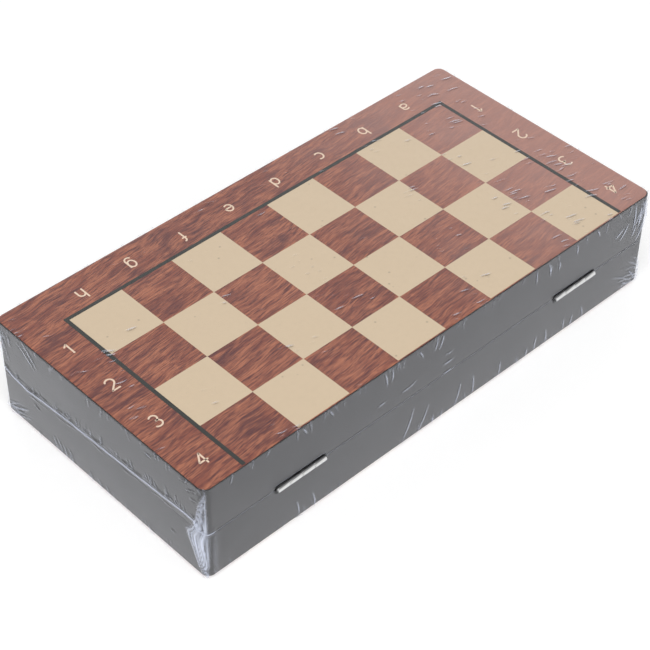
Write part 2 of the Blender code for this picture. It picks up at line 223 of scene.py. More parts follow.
# ---------------------------------------------------------------- node helpers
class NodeBench:
    """Makes and links the nodes of one node tree."""

    def __init__(self, tree: bpy.types.NodeTree) -> None:
        """Keeps the tree."""
        self.tree = tree

    def add(self, kind: str, settings: dict | None = None, **inputs) -> bpy.types.Node:
        """A node with its settings and inputs filled in.

        Args:
            kind: the node type without its ShaderNode prefix.
            settings: properties of the node itself.
            inputs: a value or an output socket for each input, named with _ for a space.
        Returns:
            The node.
        """
        node = self.tree.nodes.new("ShaderNode" + kind)
        for key, value in (settings or {}).items():
            setattr(node, key, value)
        for key, value in inputs.items():
            numbered = key[0] == "i" and key[1:].isdigit()
            self.put(node.inputs[int(key[1:]) if numbered else key.replace("_", " ")], value)
        return node

    def put(self, socket: bpy.types.NodeSocket, value) -> None:
        """Links an output, or a node's first output, to a socket, or sets the socket's own value.

        Args:
            socket: the input.
            value: an output socket, a node, a 3-number colour or the value itself.
        """
        if isinstance(value, bpy.types.NodeSocket):
            self.tree.links.new(value, socket)
        elif isinstance(value, bpy.types.Node):
            self.tree.links.new(value.outputs[0], socket)
        elif socket.type == "RGBA":
            socket.default_value = (*value, 1.0)
        else:
            socket.default_value = value

    def math(self, operation: str, *values, clamp: bool = False) -> bpy.types.NodeSocket:
        """The output of a Math node on values or sockets."""
        inputs = {f"i{number}": value for number, value in enumerate(values)}
        return self.add("Math", {"operation": operation, "use_clamp": clamp}, **inputs).outputs[0]

    def times(self, first, second, clamp: bool = False) -> bpy.types.NodeSocket:
        """The product of two values or sockets."""
        return self.math("MULTIPLY", first, second, clamp=clamp)

    def blend(self, share, first, second) -> bpy.types.NodeSocket:
        """The colour output of a Mix node between two colours or colour sockets."""
        node = self.add("Mix", {"data_type": "RGBA"}, i0=share, i6=first, i7=second)
        return node.outputs[2]

    def band(self, value, low, high, start: float = 0.0, end: float = 1.0) -> bpy.types.NodeSocket:
        """A smooth step: start below low, end above high.

        Args:
            value: what is stepped.
            low: where the step starts.
            high: where it ends.
            start: the result below low.
            end: the result above high.
        Returns:
            The stepped value.
        """
        settings = {"interpolation_type": "SMOOTHSTEP"}
        node = self.add("MapRange", settings, i0=value, i1=low, i2=high, i3=start, i4=end)
        return node.outputs[0]

    def where(self) -> bpy.types.NodeSocket:
        """The place in the object's own coordinates."""
        return self.add("TexCoord").outputs["Object"]

    def turned(self, vector, angle: float) -> bpy.types.NodeSocket:
        """Coordinates turned about Z by an angle in radians."""
        return self.add("Mapping", Vector=vector, Rotation=(0.0, 0.0, angle)).outputs[0]

    def pressed(self, vector, scale: float, detail: float, push, stretch) -> bpy.types.NodeSocket:
        """Coordinates bent by a slow noise and then pressed together along X.

        Args:
            vector: the coordinates.
            scale: the noise's scale.
            detail: the noise's detail.
            push: how far the noise moves a point, in metres.
            stretch: the share of X that is kept.
        Returns:
            The new coordinates.
        """
        bend = self.add("TexNoise", Vector=vector, Scale=scale, Detail=detail).outputs["Color"]
        centred = self.add("VectorMath", {"operation": "SUBTRACT"}, i0=bend, i1=(0.5, 0.5, 0.5))
        pushed = self.add("VectorMath", {"operation": "SCALE"}, i0=centred, Scale=push)
        moved = self.add("VectorMath", {"operation": "ADD"}, i0=vector, i1=pushed)
        parts = self.add("SeparateXYZ", Vector=moved).outputs
        along = self.times(parts[0], stretch)
        return self.add("CombineXYZ", X=along, Y=parts[1], Z=parts[2]).outputs[0]

    def group(self, tree: bpy.types.NodeTree, **inputs) -> bpy.types.Node:
        """A node for a shared group, with its inputs filled in.

        Args:
            tree: the group's tree.
            inputs: a value or output socket for each input.
        Returns:
            The node.
        """
        node = self.tree.nodes.new("ShaderNodeGroup")
        node.node_tree = tree
        for key, value in inputs.items():
            self.put(node.inputs[key], value)
        return node


def new_group(name: str, inputs: dict[str, float], outputs: tuple[str, ...]) -> tuple[NodeBench, dict, dict]:
    """An empty shared group with a Vector input, number inputs and number outputs.

    Args:
        name: the group's name.
        inputs: number input to its starting value.
        outputs: the outputs' names.
    Returns:
        A bench on the group's tree, the inputs to read from and the outputs to link to.
    """
    tree = bpy.data.node_groups.new(name, "ShaderNodeTree")
    tree.interface.new_socket("Vector", in_out="INPUT", socket_type="NodeSocketVector")
    for label, value in inputs.items():
        socket = tree.interface.new_socket(label, in_out="INPUT", socket_type="NodeSocketFloat")
        socket.default_value = value
    for label in outputs:
        tree.interface.new_socket(label, in_out="OUTPUT", socket_type="NodeSocketFloat")
    source = tree.nodes.new("NodeGroupInput").outputs
    sink = tree.nodes.new("NodeGroupOutput").inputs
    return NodeBench(tree), source, sink


@dataclass(frozen=True)
class SharedEffects:
    """The node groups that several finishes use."""

    grain: bpy.types.NodeTree
    specks: bpy.types.NodeTree
    creases: bpy.types.NodeTree

    def wood(self, bench: NodeBench, vector, stretch: float, fineness: float, waviness: float) -> dict:
        """The outputs of a grain node: Streaks, Bands and Pores."""
        inputs = {"Stretch": stretch, "Fineness": fineness, "Waviness": waviness}
        return bench.group(self.grain, Vector=vector, **inputs).outputs

    def dots(self, bench: NodeBench, vector, scale: float, rarity: float) -> dict:
        """The outputs of a speck node: Specks and Grit."""
        return bench.group(self.specks, Vector=vector, Scale=scale, Rarity=rarity).outputs


def build_grain() -> bpy.types.NodeTree:
    """Wood grain along +X: long streaks, broad bands and short pores.

    Streaks are noise on coordinates pressed together along the grain. A slow noise bends them first.

    Returns:
        The group's tree.
    """
    inputs = {"Stretch": 0.08, "Fineness": 900.0, "Waviness": 0.002}
    bench, source, sink = new_group("wood_grain", inputs, ("Streaks", "Bands", "Pores"))
    pressed = bench.pressed(source["Vector"], 45.0, 2.0, source["Waviness"], source["Stretch"])
    fine = source["Fineness"]
    streaks = bench.add("TexNoise", Vector=pressed, Scale=fine, Detail=4.0, Roughness=0.62)
    slow = bench.times(fine, 0.16)
    bands = bench.add("TexNoise", Vector=pressed, Scale=slow, Detail=3.0, Roughness=0.5, Distortion=0.6)
    quick = bench.times(fine, 2.6)
    pores = bench.add("TexNoise", Vector=pressed, Scale=quick, Detail=1.0, Roughness=0.4)
    bench.put(sink["Streaks"], streaks.outputs["Fac"])
    bench.put(sink["Bands"], bands.outputs["Fac"])
    bench.put(sink["Pores"], bench.band(pores.outputs["Fac"], 0.57, 0.7))
    return bench.tree


def build_specks() -> bpy.types.NodeTree:
    """Small scattered specks and a fine grit.

    A speck is near the middle of a random cell, kept only where the cell's own number is high.

    Returns:
        The group's tree.
    """
    bench, source, sink = new_group("fine_specks", {"Scale": 600.0, "Rarity": 0.9}, ("Specks", "Grit"))
    place = {"Vector": source["Vector"], "Scale": source["Scale"]}
    cells = bench.add("TexVoronoi", Randomness=1.0, **place).outputs
    near = bench.band(cells["Distance"], 0.1, 0.28, 1.0, 0.0)
    chance = bench.add("SeparateColor", Color=cells["Color"])
    kept = bench.math("GREATER_THAN", chance.outputs[0], source["Rarity"])
    bench.put(sink["Specks"], bench.times(near, kept))
    bench.put(sink["Grit"], bench.add("TexNoise", Detail=2.0, Roughness=0.6, **place).outputs["Fac"])
    return bench.tree


def build_creases() -> bpy.types.NodeTree:
    """Short creases of a tight film, in clusters, running along +X of the given coordinates.

    The coordinates are bent by a slow noise and pressed together along X. A crease is then the middle of
    a random cell, which the pressing draws out; only some cells have one, and only in a slow noise's
    high places.

    Returns:
        The group's tree.
    """
    inputs = {"Fineness": 420.0, "Stretch": 0.2, "Cluster": 0.62}
    bench, source, sink = new_group("film_creases", inputs, ("Height",))
    pressed = bench.pressed(source["Vector"], 110.0, 1.0, 0.004, source["Stretch"])
    cells = bench.add("TexVoronoi", Vector=pressed, Scale=source["Fineness"], Randomness=1.0).outputs
    stroke = bench.band(cells["Distance"], 0.0, 0.36, 1.0, 0.0)
    chance = bench.add("SeparateColor", Color=cells["Color"])
    kept = bench.band(chance.outputs[0], 0.35, 0.7)
    patches = bench.add("TexNoise", Vector=source["Vector"], Scale=42.0, Detail=2.0)
    edge = bench.math("ADD", source["Cluster"], 0.1)
    keep = bench.band(patches.outputs["Fac"], source["Cluster"], edge)
    bench.put(sink["Height"], bench.times(bench.times(stroke, kept), keep))
    return bench.tree


# ---------------------------------------------------------------- finishes
def new_material(name: str) -> tuple[bpy.types.Material, NodeBench, bpy.types.Node]:
    """A material with its bench and its Principled node.

    Args:
        name: the material's name.
    Returns:
        The material, its bench and its node.
    """
    material = bpy.data.materials.new(name)
    material.use_nodes = True
    bench = NodeBench(material.node_tree)
    return material, bench, material.node_tree.nodes["Principled BSDF"]


def plug(bench: NodeBench, shader: bpy.types.Node, **values) -> None:
    """Sets or links inputs of a shader.

    Args:
        bench: the bench of the shader's tree.
        shader: the node.
        values: a value, colour or output socket for each input, named with _ for a space.
    """
    for key, value in values.items():
        bench.put(shader.inputs[key.replace("_", " ")], value)


def bump(bench: NodeBench, height, depth: float) -> bpy.types.NodeSocket:
    """The normal of a Bump node on a height, its full rise depth metres."""
    return bench.add("Bump", Height=height, Strength=1.0, Distance=depth).outputs["Normal"]


def scaled(colour: Colour, share: float) -> Colour:
    """A colour with every channel at a share of its value."""
    return tuple(channel * share for channel in colour)


@dataclass(frozen=True)
class PrintedWood:
    """Red-brown wood grain printed on the playing faces."""

    effects: SharedEffects
    dark: Colour = (0.105, 0.026, 0.026)
    middle: Colour = (0.285, 0.082, 0.048)
    light: Colour = (0.475, 0.170, 0.090)
    flame: Colour = (0.070, 0.020, 0.028)
    pale: Colour = (0.47, 0.250, 0.205)
    roughness: float = 0.5
    lean: float = -0.10  # of the grain from +X, in radians
    paling_from: float = 0.02  # where along X the colour starts to pale, and where it is palest
    paling_to: float = 0.15

    def build(self, name: str) -> bpy.types.Material:
        """The material: grain along X, dark flames in patches, and paler towards the +X end.

        Args:
            name: the material's name.
        Returns:
            The material.
        """
        material, bench, shader = new_material(name)
        where = bench.where()
        turned = bench.turned(where, self.lean)
        grain = self.effects.wood(bench, turned, 0.06, 2100.0, 0.003)
        figure = self.effects.wood(bench, turned, 0.12, 420.0, 0.007)["Streaks"]
        fibres = self.effects.wood(bench, turned, 0.045, 1700.0, 0.005)["Streaks"]
        tone = bench.band(grain["Streaks"], 0.32, 0.60)
        base = bench.blend(tone, self.dark, self.middle)
        warm = bench.blend(bench.times(bench.band(figure, 0.38, 0.62), tone), base, self.light)
        colour = bench.blend(bench.times(grain["Pores"], 0.6), warm, self.dark)
        patches = bench.add("TexNoise", Vector=turned, Scale=48.0, Detail=2.0).outputs["Fac"]
        shade = bench.times(bench.band(patches, 0.50, 0.70), 0.7)
        streaked = bench.times(shade, bench.band(figure, 0.40, 0.55, 1.0, 0.15))
        colour = bench.blend(streaked, colour, self.flame)
        lines = bench.times(bench.band(fibres, 0.53, 0.66), 0.6)
        colour = bench.blend(lines, colour, self.flame)
        # the colour pales towards +X along this ramp, with a little noise
        side = bench.add("SeparateXYZ", Vector=where).outputs[0]
        worn = bench.math("ADD", side, bench.times(patches, 0.05))
        colour = bench.blend(bench.band(worn, self.paling_from, self.paling_to, 0.0, 0.72), colour, self.pale)
        grit = self.effects.dots(bench, where, 900.0, 0.9)["Grit"]
        rough = bench.band(grit, 0.3, 0.7, self.roughness - 0.06, self.roughness + 0.08)
        plug(bench, shader, Base_Color=colour, Roughness=rough, Normal=bump(bench, grit, 0.00002))
        return material


@dataclass(frozen=True)
class PrintedInk:
    """Flat printed ink with a faint mottle and a few specks."""

    effects: SharedEffects
    colour: Colour
    mottle: float = 0.05
    roughness: float = 0.5

    def build(self, name: str) -> bpy.types.Material:
        """Builds the node tree.

        Args:
            name: the material's name.
        Returns:
            The material.
        """
        material, bench, shader = new_material(name)
        dots = self.effects.dots(bench, bench.where(), 420.0, 0.965)
        share = bench.band(dots["Grit"], 0.35, 0.75, 0.0, 0.5)
        colour = bench.blend(share, self.colour, scaled(self.colour, 1 - 3 * self.mottle))
        colour = bench.blend(bench.times(dots["Specks"], 0.5), colour, scaled(self.colour, 0.45))
        rough = bench.band(dots["Grit"], 0.3, 0.7, self.roughness - 0.05, self.roughness + 0.05)
        plug(bench, shader, Base_Color=colour, Roughness=rough, Normal=bump(bench, dots["Grit"], 0.00001))
        return material


@dataclass(frozen=True)
class SatinPaint:
    """Black satin paint on wood, with a little of the grain telling through."""

    effects: SharedEffects
    colour: Colour = (0.012, 0.012, 0.013)
    worn: Colour = (0.05, 0.05, 0.052)
    roughness: float = 0.5

    def build(self, name: str) -> bpy.types.Material:
        """Builds the node tree.

        Args:
            name: the material's name.
        Returns:
            The material.
        """
        material, bench, shader = new_material(name)
        where = bench.where()
        grain = self.effects.wood(bench, where, 0.05, 700.0, 0.003)
        dots = self.effects.dots(bench, where, 700.0, 0.975)
        colour = bench.blend(dots["Specks"], self.colour, self.worn)
        rough = bench.band(dots["Grit"], 0.3, 0.7, self.roughness - 0.03, self.roughness + 0.03)
        height = bench.math("ADD", grain["Streaks"], bench.times(dots["Grit"], 0.4))
        plug(bench, shader, Base_Color=colour, Roughness=rough, Normal=bump(bench, height, 0.0000012))
        return material


@dataclass(frozen=True)
class BareBoard:
    """Thin pressed fibre board."""

    effects: SharedEffects
    colour: Colour = (0.30, 0.18, 0.095)

    def build(self, name: str) -> bpy.types.Material:
        """Builds the node tree.

        Args:
            name: the material's name.
        Returns:
            The material.
        """
        material, bench, shader = new_material(name)
        grit = self.effects.dots(bench, bench.where(), 1100.0, 0.8)["Grit"]
        colour = bench.blend(bench.band(grit, 0.3, 0.7), self.colour, scaled(self.colour, 0.55))
        plug(bench, shader, Base_Color=colour, Roughness=0.85, Normal=bump(bench, grit, 0.00008))
        return material


@dataclass(frozen=True)
class Felt:
    """Short green felt: matted fibres, a soft sheen and a slight lay."""

    effects: SharedEffects
    colour: Colour = (0.018, 0.085, 0.045)

    def build(self, name: str) -> bpy.types.Material:
        """Builds the node tree.

        Args:
            name: the material's name.
        Returns:
            The material.
        """
        material, bench, shader = new_material(name)
        where = bench.where()
        fibres = self.effects.wood(bench, where, 0.35, 2600.0, 0.004)
        others = self.effects.wood(bench, bench.turned(where, 1.9), 0.3, 2100.0, 0.004)
        nap = bench.math("MAXIMUM", fibres["Streaks"], others["Streaks"])
        cloud = bench.add("TexNoise", Vector=where, Scale=70.0, Detail=3.0).outputs["Fac"]
        lighter = tuple(min(1.0, channel * 2.1 + 0.01) for channel in self.colour)
        colour = bench.blend(bench.band(nap, 0.48, 0.75), self.colour, lighter)
        colour = bench.blend(bench.band(cloud, 0.45, 0.75, 0.0, 0.5), colour, scaled(self.colour, 0.6))
        plug(bench, shader, Base_Color=colour, Roughness=0.95, Sheen_Weight=0.35, Sheen_Roughness=0.45)
        plug(bench, shader, Normal=bump(bench, nap, 0.0002))
        return material


@dataclass(frozen=True)
class PlatedSteel:
    """Plated steel with fine draw marks along X and small dull spots."""

    effects: SharedEffects
    colour: Colour = (0.70, 0.70, 0.70)
    roughness: float = 0.16
    spot: Colour = (0.3, 0.29, 0.27)

    def build(self, name: str) -> bpy.types.Material:
        """Builds the node tree.

        Args:
            name: the material's name.
        Returns:
            The material.
        """
        material, bench, shader = new_material(name)
        where = bench.where()
        marks = self.effects.wood(bench, where, 0.06, 3200.0, 0.0005)["Streaks"]
        specks = self.effects.dots(bench, where, 900.0, 0.93)["Specks"]
        dull = bench.blend(bench.times(specks, 0.5), self.colour, self.spot)
        rough = bench.band(marks, 0.35, 0.65, self.roughness - 0.06, self.roughness + 0.12)
        plug(bench, shader, Base_Color=dull, Metallic=1.0, Roughness=rough)
        plug(bench, shader, Normal=bump(bench, marks, 0.000003))
        return material


@dataclass(frozen=True)
class VarnishedWood:
    """Turned wood under clear varnish, grain along the axis of a chessman."""

    effects: SharedEffects
    base: Colour
    streak: Colour
    pore: Colour

    def build(self, name: str) -> bpy.types.Material:
        """The material; the chessmen lie along Y, so the pattern is turned a quarter.

        Args:
            name: the material's name.
        Returns:
            The material.
        """
        material, bench, shader = new_material(name)
        turned = bench.turned(bench.where(), math.pi / 2)
        grain = self.effects.wood(bench, turned, 0.07, 520.0, 0.004)
        colour = bench.blend(bench.band(grain["Streaks"], 0.38, 0.66), self.base, self.streak)
        colour = bench.blend(bench.band(grain["Bands"], 0.45, 0.7, 0.0, 0.5), colour, self.streak)
        colour = bench.blend(bench.times(grain["Pores"], 0.7), colour, self.pore)
        rough = bench.band(grain["Streaks"], 0.35, 0.65, 0.3, 0.42)
        plug(bench, shader, Base_Color=colour, Roughness=rough, Coat_Weight=0.5, Coat_Roughness=0.12)
        plug(bench, shader, Normal=bump(bench, grain["Pores"], -0.00004))
        return material


@dataclass(frozen=True)
class ShrinkFilm:
    """Clear shrink film: mirrors the room a little, clouds where it is gathered, and creases, with painted
    highlights and painted shade on its folds and creases.
    """

    effects: SharedEffects
    index: float = 1.5
    faces: float = 1.10
    crease: float = 0.00030
    shadow_step: float = 0.0005
    # strengths of the painted highlight and the painted shade on a crease's two sides
    lit_side: float = 0.38
    dim_side: float = 0.36
    lean: float = 0.28  # of the creases from +X, in radians
    tint: Colour = (0.94, 0.95, 1.0)
    # colour of gathered film, also used for the painted highlights on folds and creases
    cloud: Colour = (0.70, 0.75, 0.90)
    # painted shade colour on the dark sides of folds and creases
    shadow: Colour = (0.020, 0.016, 0.022)

    def build(self, name: str) -> bpy.types.Material:
        """The material.

        It reads the film's cloud attribute: gathered film and the painted highlights on fold ridges above
        nothing, the painted shade on the dark side of a fold below. A crease's slope is the difference
        between its heights here and a step aside, which gives one side of it a painted highlight and the
        other a painted shade.

        Args:
            name: the material's name.
        Returns:
            The material.
        """
        material, bench, principled = new_material(name)
        where = bench.where()
        flat = bench.add("SeparateXYZ", Vector=bench.add("TexCoord").outputs["Normal"]).outputs[2]
        flat = bench.band(bench.math("ABSOLUTE", flat), 0.7, 0.95)
        turned = bench.turned(where, self.lean)
        aside = bench.add("VectorMath", {"operation": "ADD"}, i0=turned, i1=(0.0, self.shadow_step, 0.0))
        rare = bench.band(bench.add("SeparateXYZ", Vector=where).outputs[0], 0.0, 0.1, 0.545, 0.415)
        sizes = {"Fineness": 620.0, "Stretch": 0.13, "Cluster": rare}
        ridge = bench.group(self.effects.creases, Vector=turned, **sizes).outputs["Height"]
        beside = bench.group(self.effects.creases, Vector=aside, **sizes).outputs["Height"]
        slope = bench.times(bench.math("SUBTRACT", ridge, beside), flat)
        ridge = bench.times(ridge, flat)
        slack = bench.add("TexNoise", Vector=where, Scale=26.0, Detail=2.0)
        cloud = bench.add("Attribute", {"attribute_name": "cloud"}).outputs["Fac"]
        # painted highlight on the lit side of a crease, painted shade on its other side
        bright = bench.band(slope, 0.06, 0.5, 0.0, self.lit_side)
        dark = bench.band(slope, -0.5, -0.06, self.dim_side, 0.0)
        # lit: gathered film and painted highlights; dim: painted shade from below-zero cloud values and
        # crease sides
        lit = bench.math("MAXIMUM", bench.math("MAXIMUM", cloud, bright), 0.0)
        dim = bench.math("MAXIMUM", bench.math("MAXIMUM", bench.times(cloud, -1.0), dark), 0.0)
        # colour laid over the clear film: cloud colour for gathered film and painted highlights, shadow
        # colour for painted shade
        painted_light_and_cloud_colour = bench.blend(bench.band(bench.math("SUBTRACT", dim, lit), 0.0, 0.05), self.cloud, self.shadow)
        gentle = bump(bench, slack.outputs["Fac"], 0.0004)
        normal = bench.add("Bump", Height=ridge, Distance=self.crease, Normal=gentle).outputs[0]
        mirror = bench.add("Fresnel", IOR=self.index, Normal=normal)
        front = bench.math("SUBTRACT", 1.0, bench.add("NewGeometry").outputs["Backfacing"])
        share = bench.times(bench.times(mirror, self.faces), front, clamp=True)
        gloss = bench.add("BsdfGlossy", Color=self.tint, Roughness=0.07, Normal=normal)
        film = bench.add("MixShader", Fac=share, i1=bench.add("BsdfTransparent"), i2=gloss)
        plug(bench, principled, Base_Color=painted_light_and_cloud_colour, Roughness=0.35, Normal=normal)
        # how much of that painted light and shade and of the gathered film's cloud covers the clear film
        milky = bench.times(bench.math("ADD", lit, dim), 0.85, clamp=True)
        whole = bench.add("MixShader", Fac=milky, i1=film, i2=principled)
        output = next(node for node in bench.tree.nodes if node.type == "OUTPUT_MATERIAL")
        bench.put(output.inputs["Surface"], whole)
        return material


class Finish(Enum):
    """The finishes, by the record's slot or by a name of their own."""

    PAINT = "black_paint"
    BOARD = "panel_board"
    PRINT = "printed_sheet"
    CREAM = "cream_ink"
    LINE = "line_ink"
    LETTERS = "letter_ink"
    FELT = "felt"
    FILM = "clear_film"
    NICKEL = "nickel_plate"
    ZINC = "zinc_plate"
    MAGNET = "magnet_plate"
    LIGHT = "light_wood"
    DARK = "dark_wood"


Finishes = dict[Finish, bpy.types.Material]


def build_finishes() -> Finishes:
    """Every finish once.

    Returns:
        The materials by finish.
    """
    effects = SharedEffects(build_grain(), build_specks(), build_creases())
    makers = {
        Finish.PAINT: SatinPaint(effects),
        Finish.BOARD: BareBoard(effects),
        Finish.PRINT: PrintedWood(effects),
        Finish.CREAM: PrintedInk(effects, (0.685, 0.54, 0.373), 0.012),
        Finish.LINE: PrintedInk(effects, (0.030, 0.032, 0.027), 0.1),
        Finish.LETTERS: PrintedInk(effects, (0.86, 0.66, 0.50), 0.02),
        Finish.FELT: Felt(effects),
        Finish.FILM: ShrinkFilm(effects),
        Finish.NICKEL: PlatedSteel(effects),
        Finish.ZINC: PlatedSteel(effects, (0.60, 0.60, 0.60), 0.32),
        Finish.MAGNET: PlatedSteel(effects, (0.66, 0.66, 0.67), 0.18),
        Finish.LIGHT: VarnishedWood(effects, (0.62, 0.40, 0.19), (0.50, 0.29, 0.12), (0.32, 0.17, 0.07)),
        Finish.DARK: VarnishedWood(
            effects, (0.060, 0.026, 0.014), (0.030, 0.013, 0.008), (0.012, 0.006, 0.004)
        ),
    }
    return {finish: maker.build(finish.value) for finish, maker in makers.items()}


# ---------------------------------------------------------------- the two trays
class Tray(Enum):
    """The two trays. The value is the prefix of the tray's node names."""

    LOWER = "lower"
    UPPER = "upper"

    @property
    def body(self) -> str:
        """The body that the tray's pieces ride on."""
        return f"{self.value}_half"

    @property
    def side(self) -> float:
        """1 where the tray frame's X and Z point as the row's do, -1 where they are turned."""
        return 1.0 if self is Tray.LOWER else -1.0

    def to_row(self, points: Array) -> Array:
        """Tray frame points in the row frame: half a turn about +Y for the upper tray, then the fold axis."""
        return points * np.array([self.side, 1.0, self.side]) + np.array(FOLD)


def arc(cx: float, cy: float, rx: float, ry: float, start: float, end: float, steps: int = 20) -> Array:
    """Points of an ellipse's arc: centre plus radii times cosine and sine, between angles in degrees."""
    angle = np.radians(np.linspace(start, end, steps))
    return np.stack([cx + rx * np.cos(angle), cy + ry * np.sin(angle)], -1)


def run(*points: tuple[float, float]) -> Array:
    """A broken line through points."""
    return np.array(points)


def path(*parts: Array) -> Array:
    """Several lines joined end to end."""
    return np.concatenate(parts)


# Each sign's strokes in a unit box centred on its middle, capitals and figures one unit high.
SIGNS: dict[str, list[Array]] = {
    "1": [run((-0.17, 0.27), (0.09, 0.5), (0.09, -0.5))],
    "2": [path(arc(0, 0.2, 0.29, 0.3, 165, -38), run((-0.3, -0.5), (0.32, -0.5)))],
    "3": [path(arc(-0.02, 0.24, 0.26, 0.26, 150, -80), arc(-0.02, -0.23, 0.3, 0.27, 85, -150))],
    "4": [run((0.12, -0.5), (0.12, 0.5), (-0.33, -0.2), (0.32, -0.2))],
    "5": [path(run((0.26, 0.5), (-0.2, 0.5), (-0.25, 0.05)), arc(-0.02, -0.18, 0.31, 0.32, 128, -145))],
    "6": [path(arc(0.3, 0.02, 0.6, 0.5, 105, 180), arc(0, -0.19, 0.3, 0.31, 180, 540, 32))],
    "7": [run((-0.3, 0.5), (0.3, 0.5), (-0.08, -0.5))],
    "8": [arc(0, 0.26, 0.24, 0.24, -90, 270, 32), arc(0, -0.24, 0.3, 0.26, 90, 450, 32)],
    "a": [
        path(arc(-0.02, 0.13, 0.24, 0.2, 150, 0), run((0.22, -0.35))),
        arc(-0.03, -0.13, 0.24, 0.2, 20, 340, 28),
    ],
    "b": [run((-0.24, 0.65), (-0.24, -0.35)), arc(0.02, 0.0, 0.26, 0.34, -180, 180, 32)],
    "c": [arc(0.03, 0.0, 0.29, 0.34, 50, 310, 28)],
    "d": [run((0.24, 0.65), (0.24, -0.35)), arc(-0.02, 0.0, 0.26, 0.34, 0, 360, 32)],
    "e": [path(run((-0.26, 0.0), (0.28, 0.0)), arc(0.0, 0.0, 0.28, 0.34, 0, 312, 28))],
    "f": [path(arc(0.12, 0.42, 0.16, 0.23, 70, 180), run((-0.04, -0.35))), run((-0.2, 0.3), (0.18, 0.3))],
    "g": [
        arc(-0.02, 0.0, 0.26, 0.34, 0, 360, 32),
        path(run((0.24, 0.34)), arc(-0.02, -0.36, 0.26, 0.29, 0, -150)),
    ],
    "h": [run((-0.24, 0.65), (-0.24, -0.35)), path(arc(0.0, 0.08, 0.24, 0.26, 180, 0), run((0.24, -0.35)))],
}


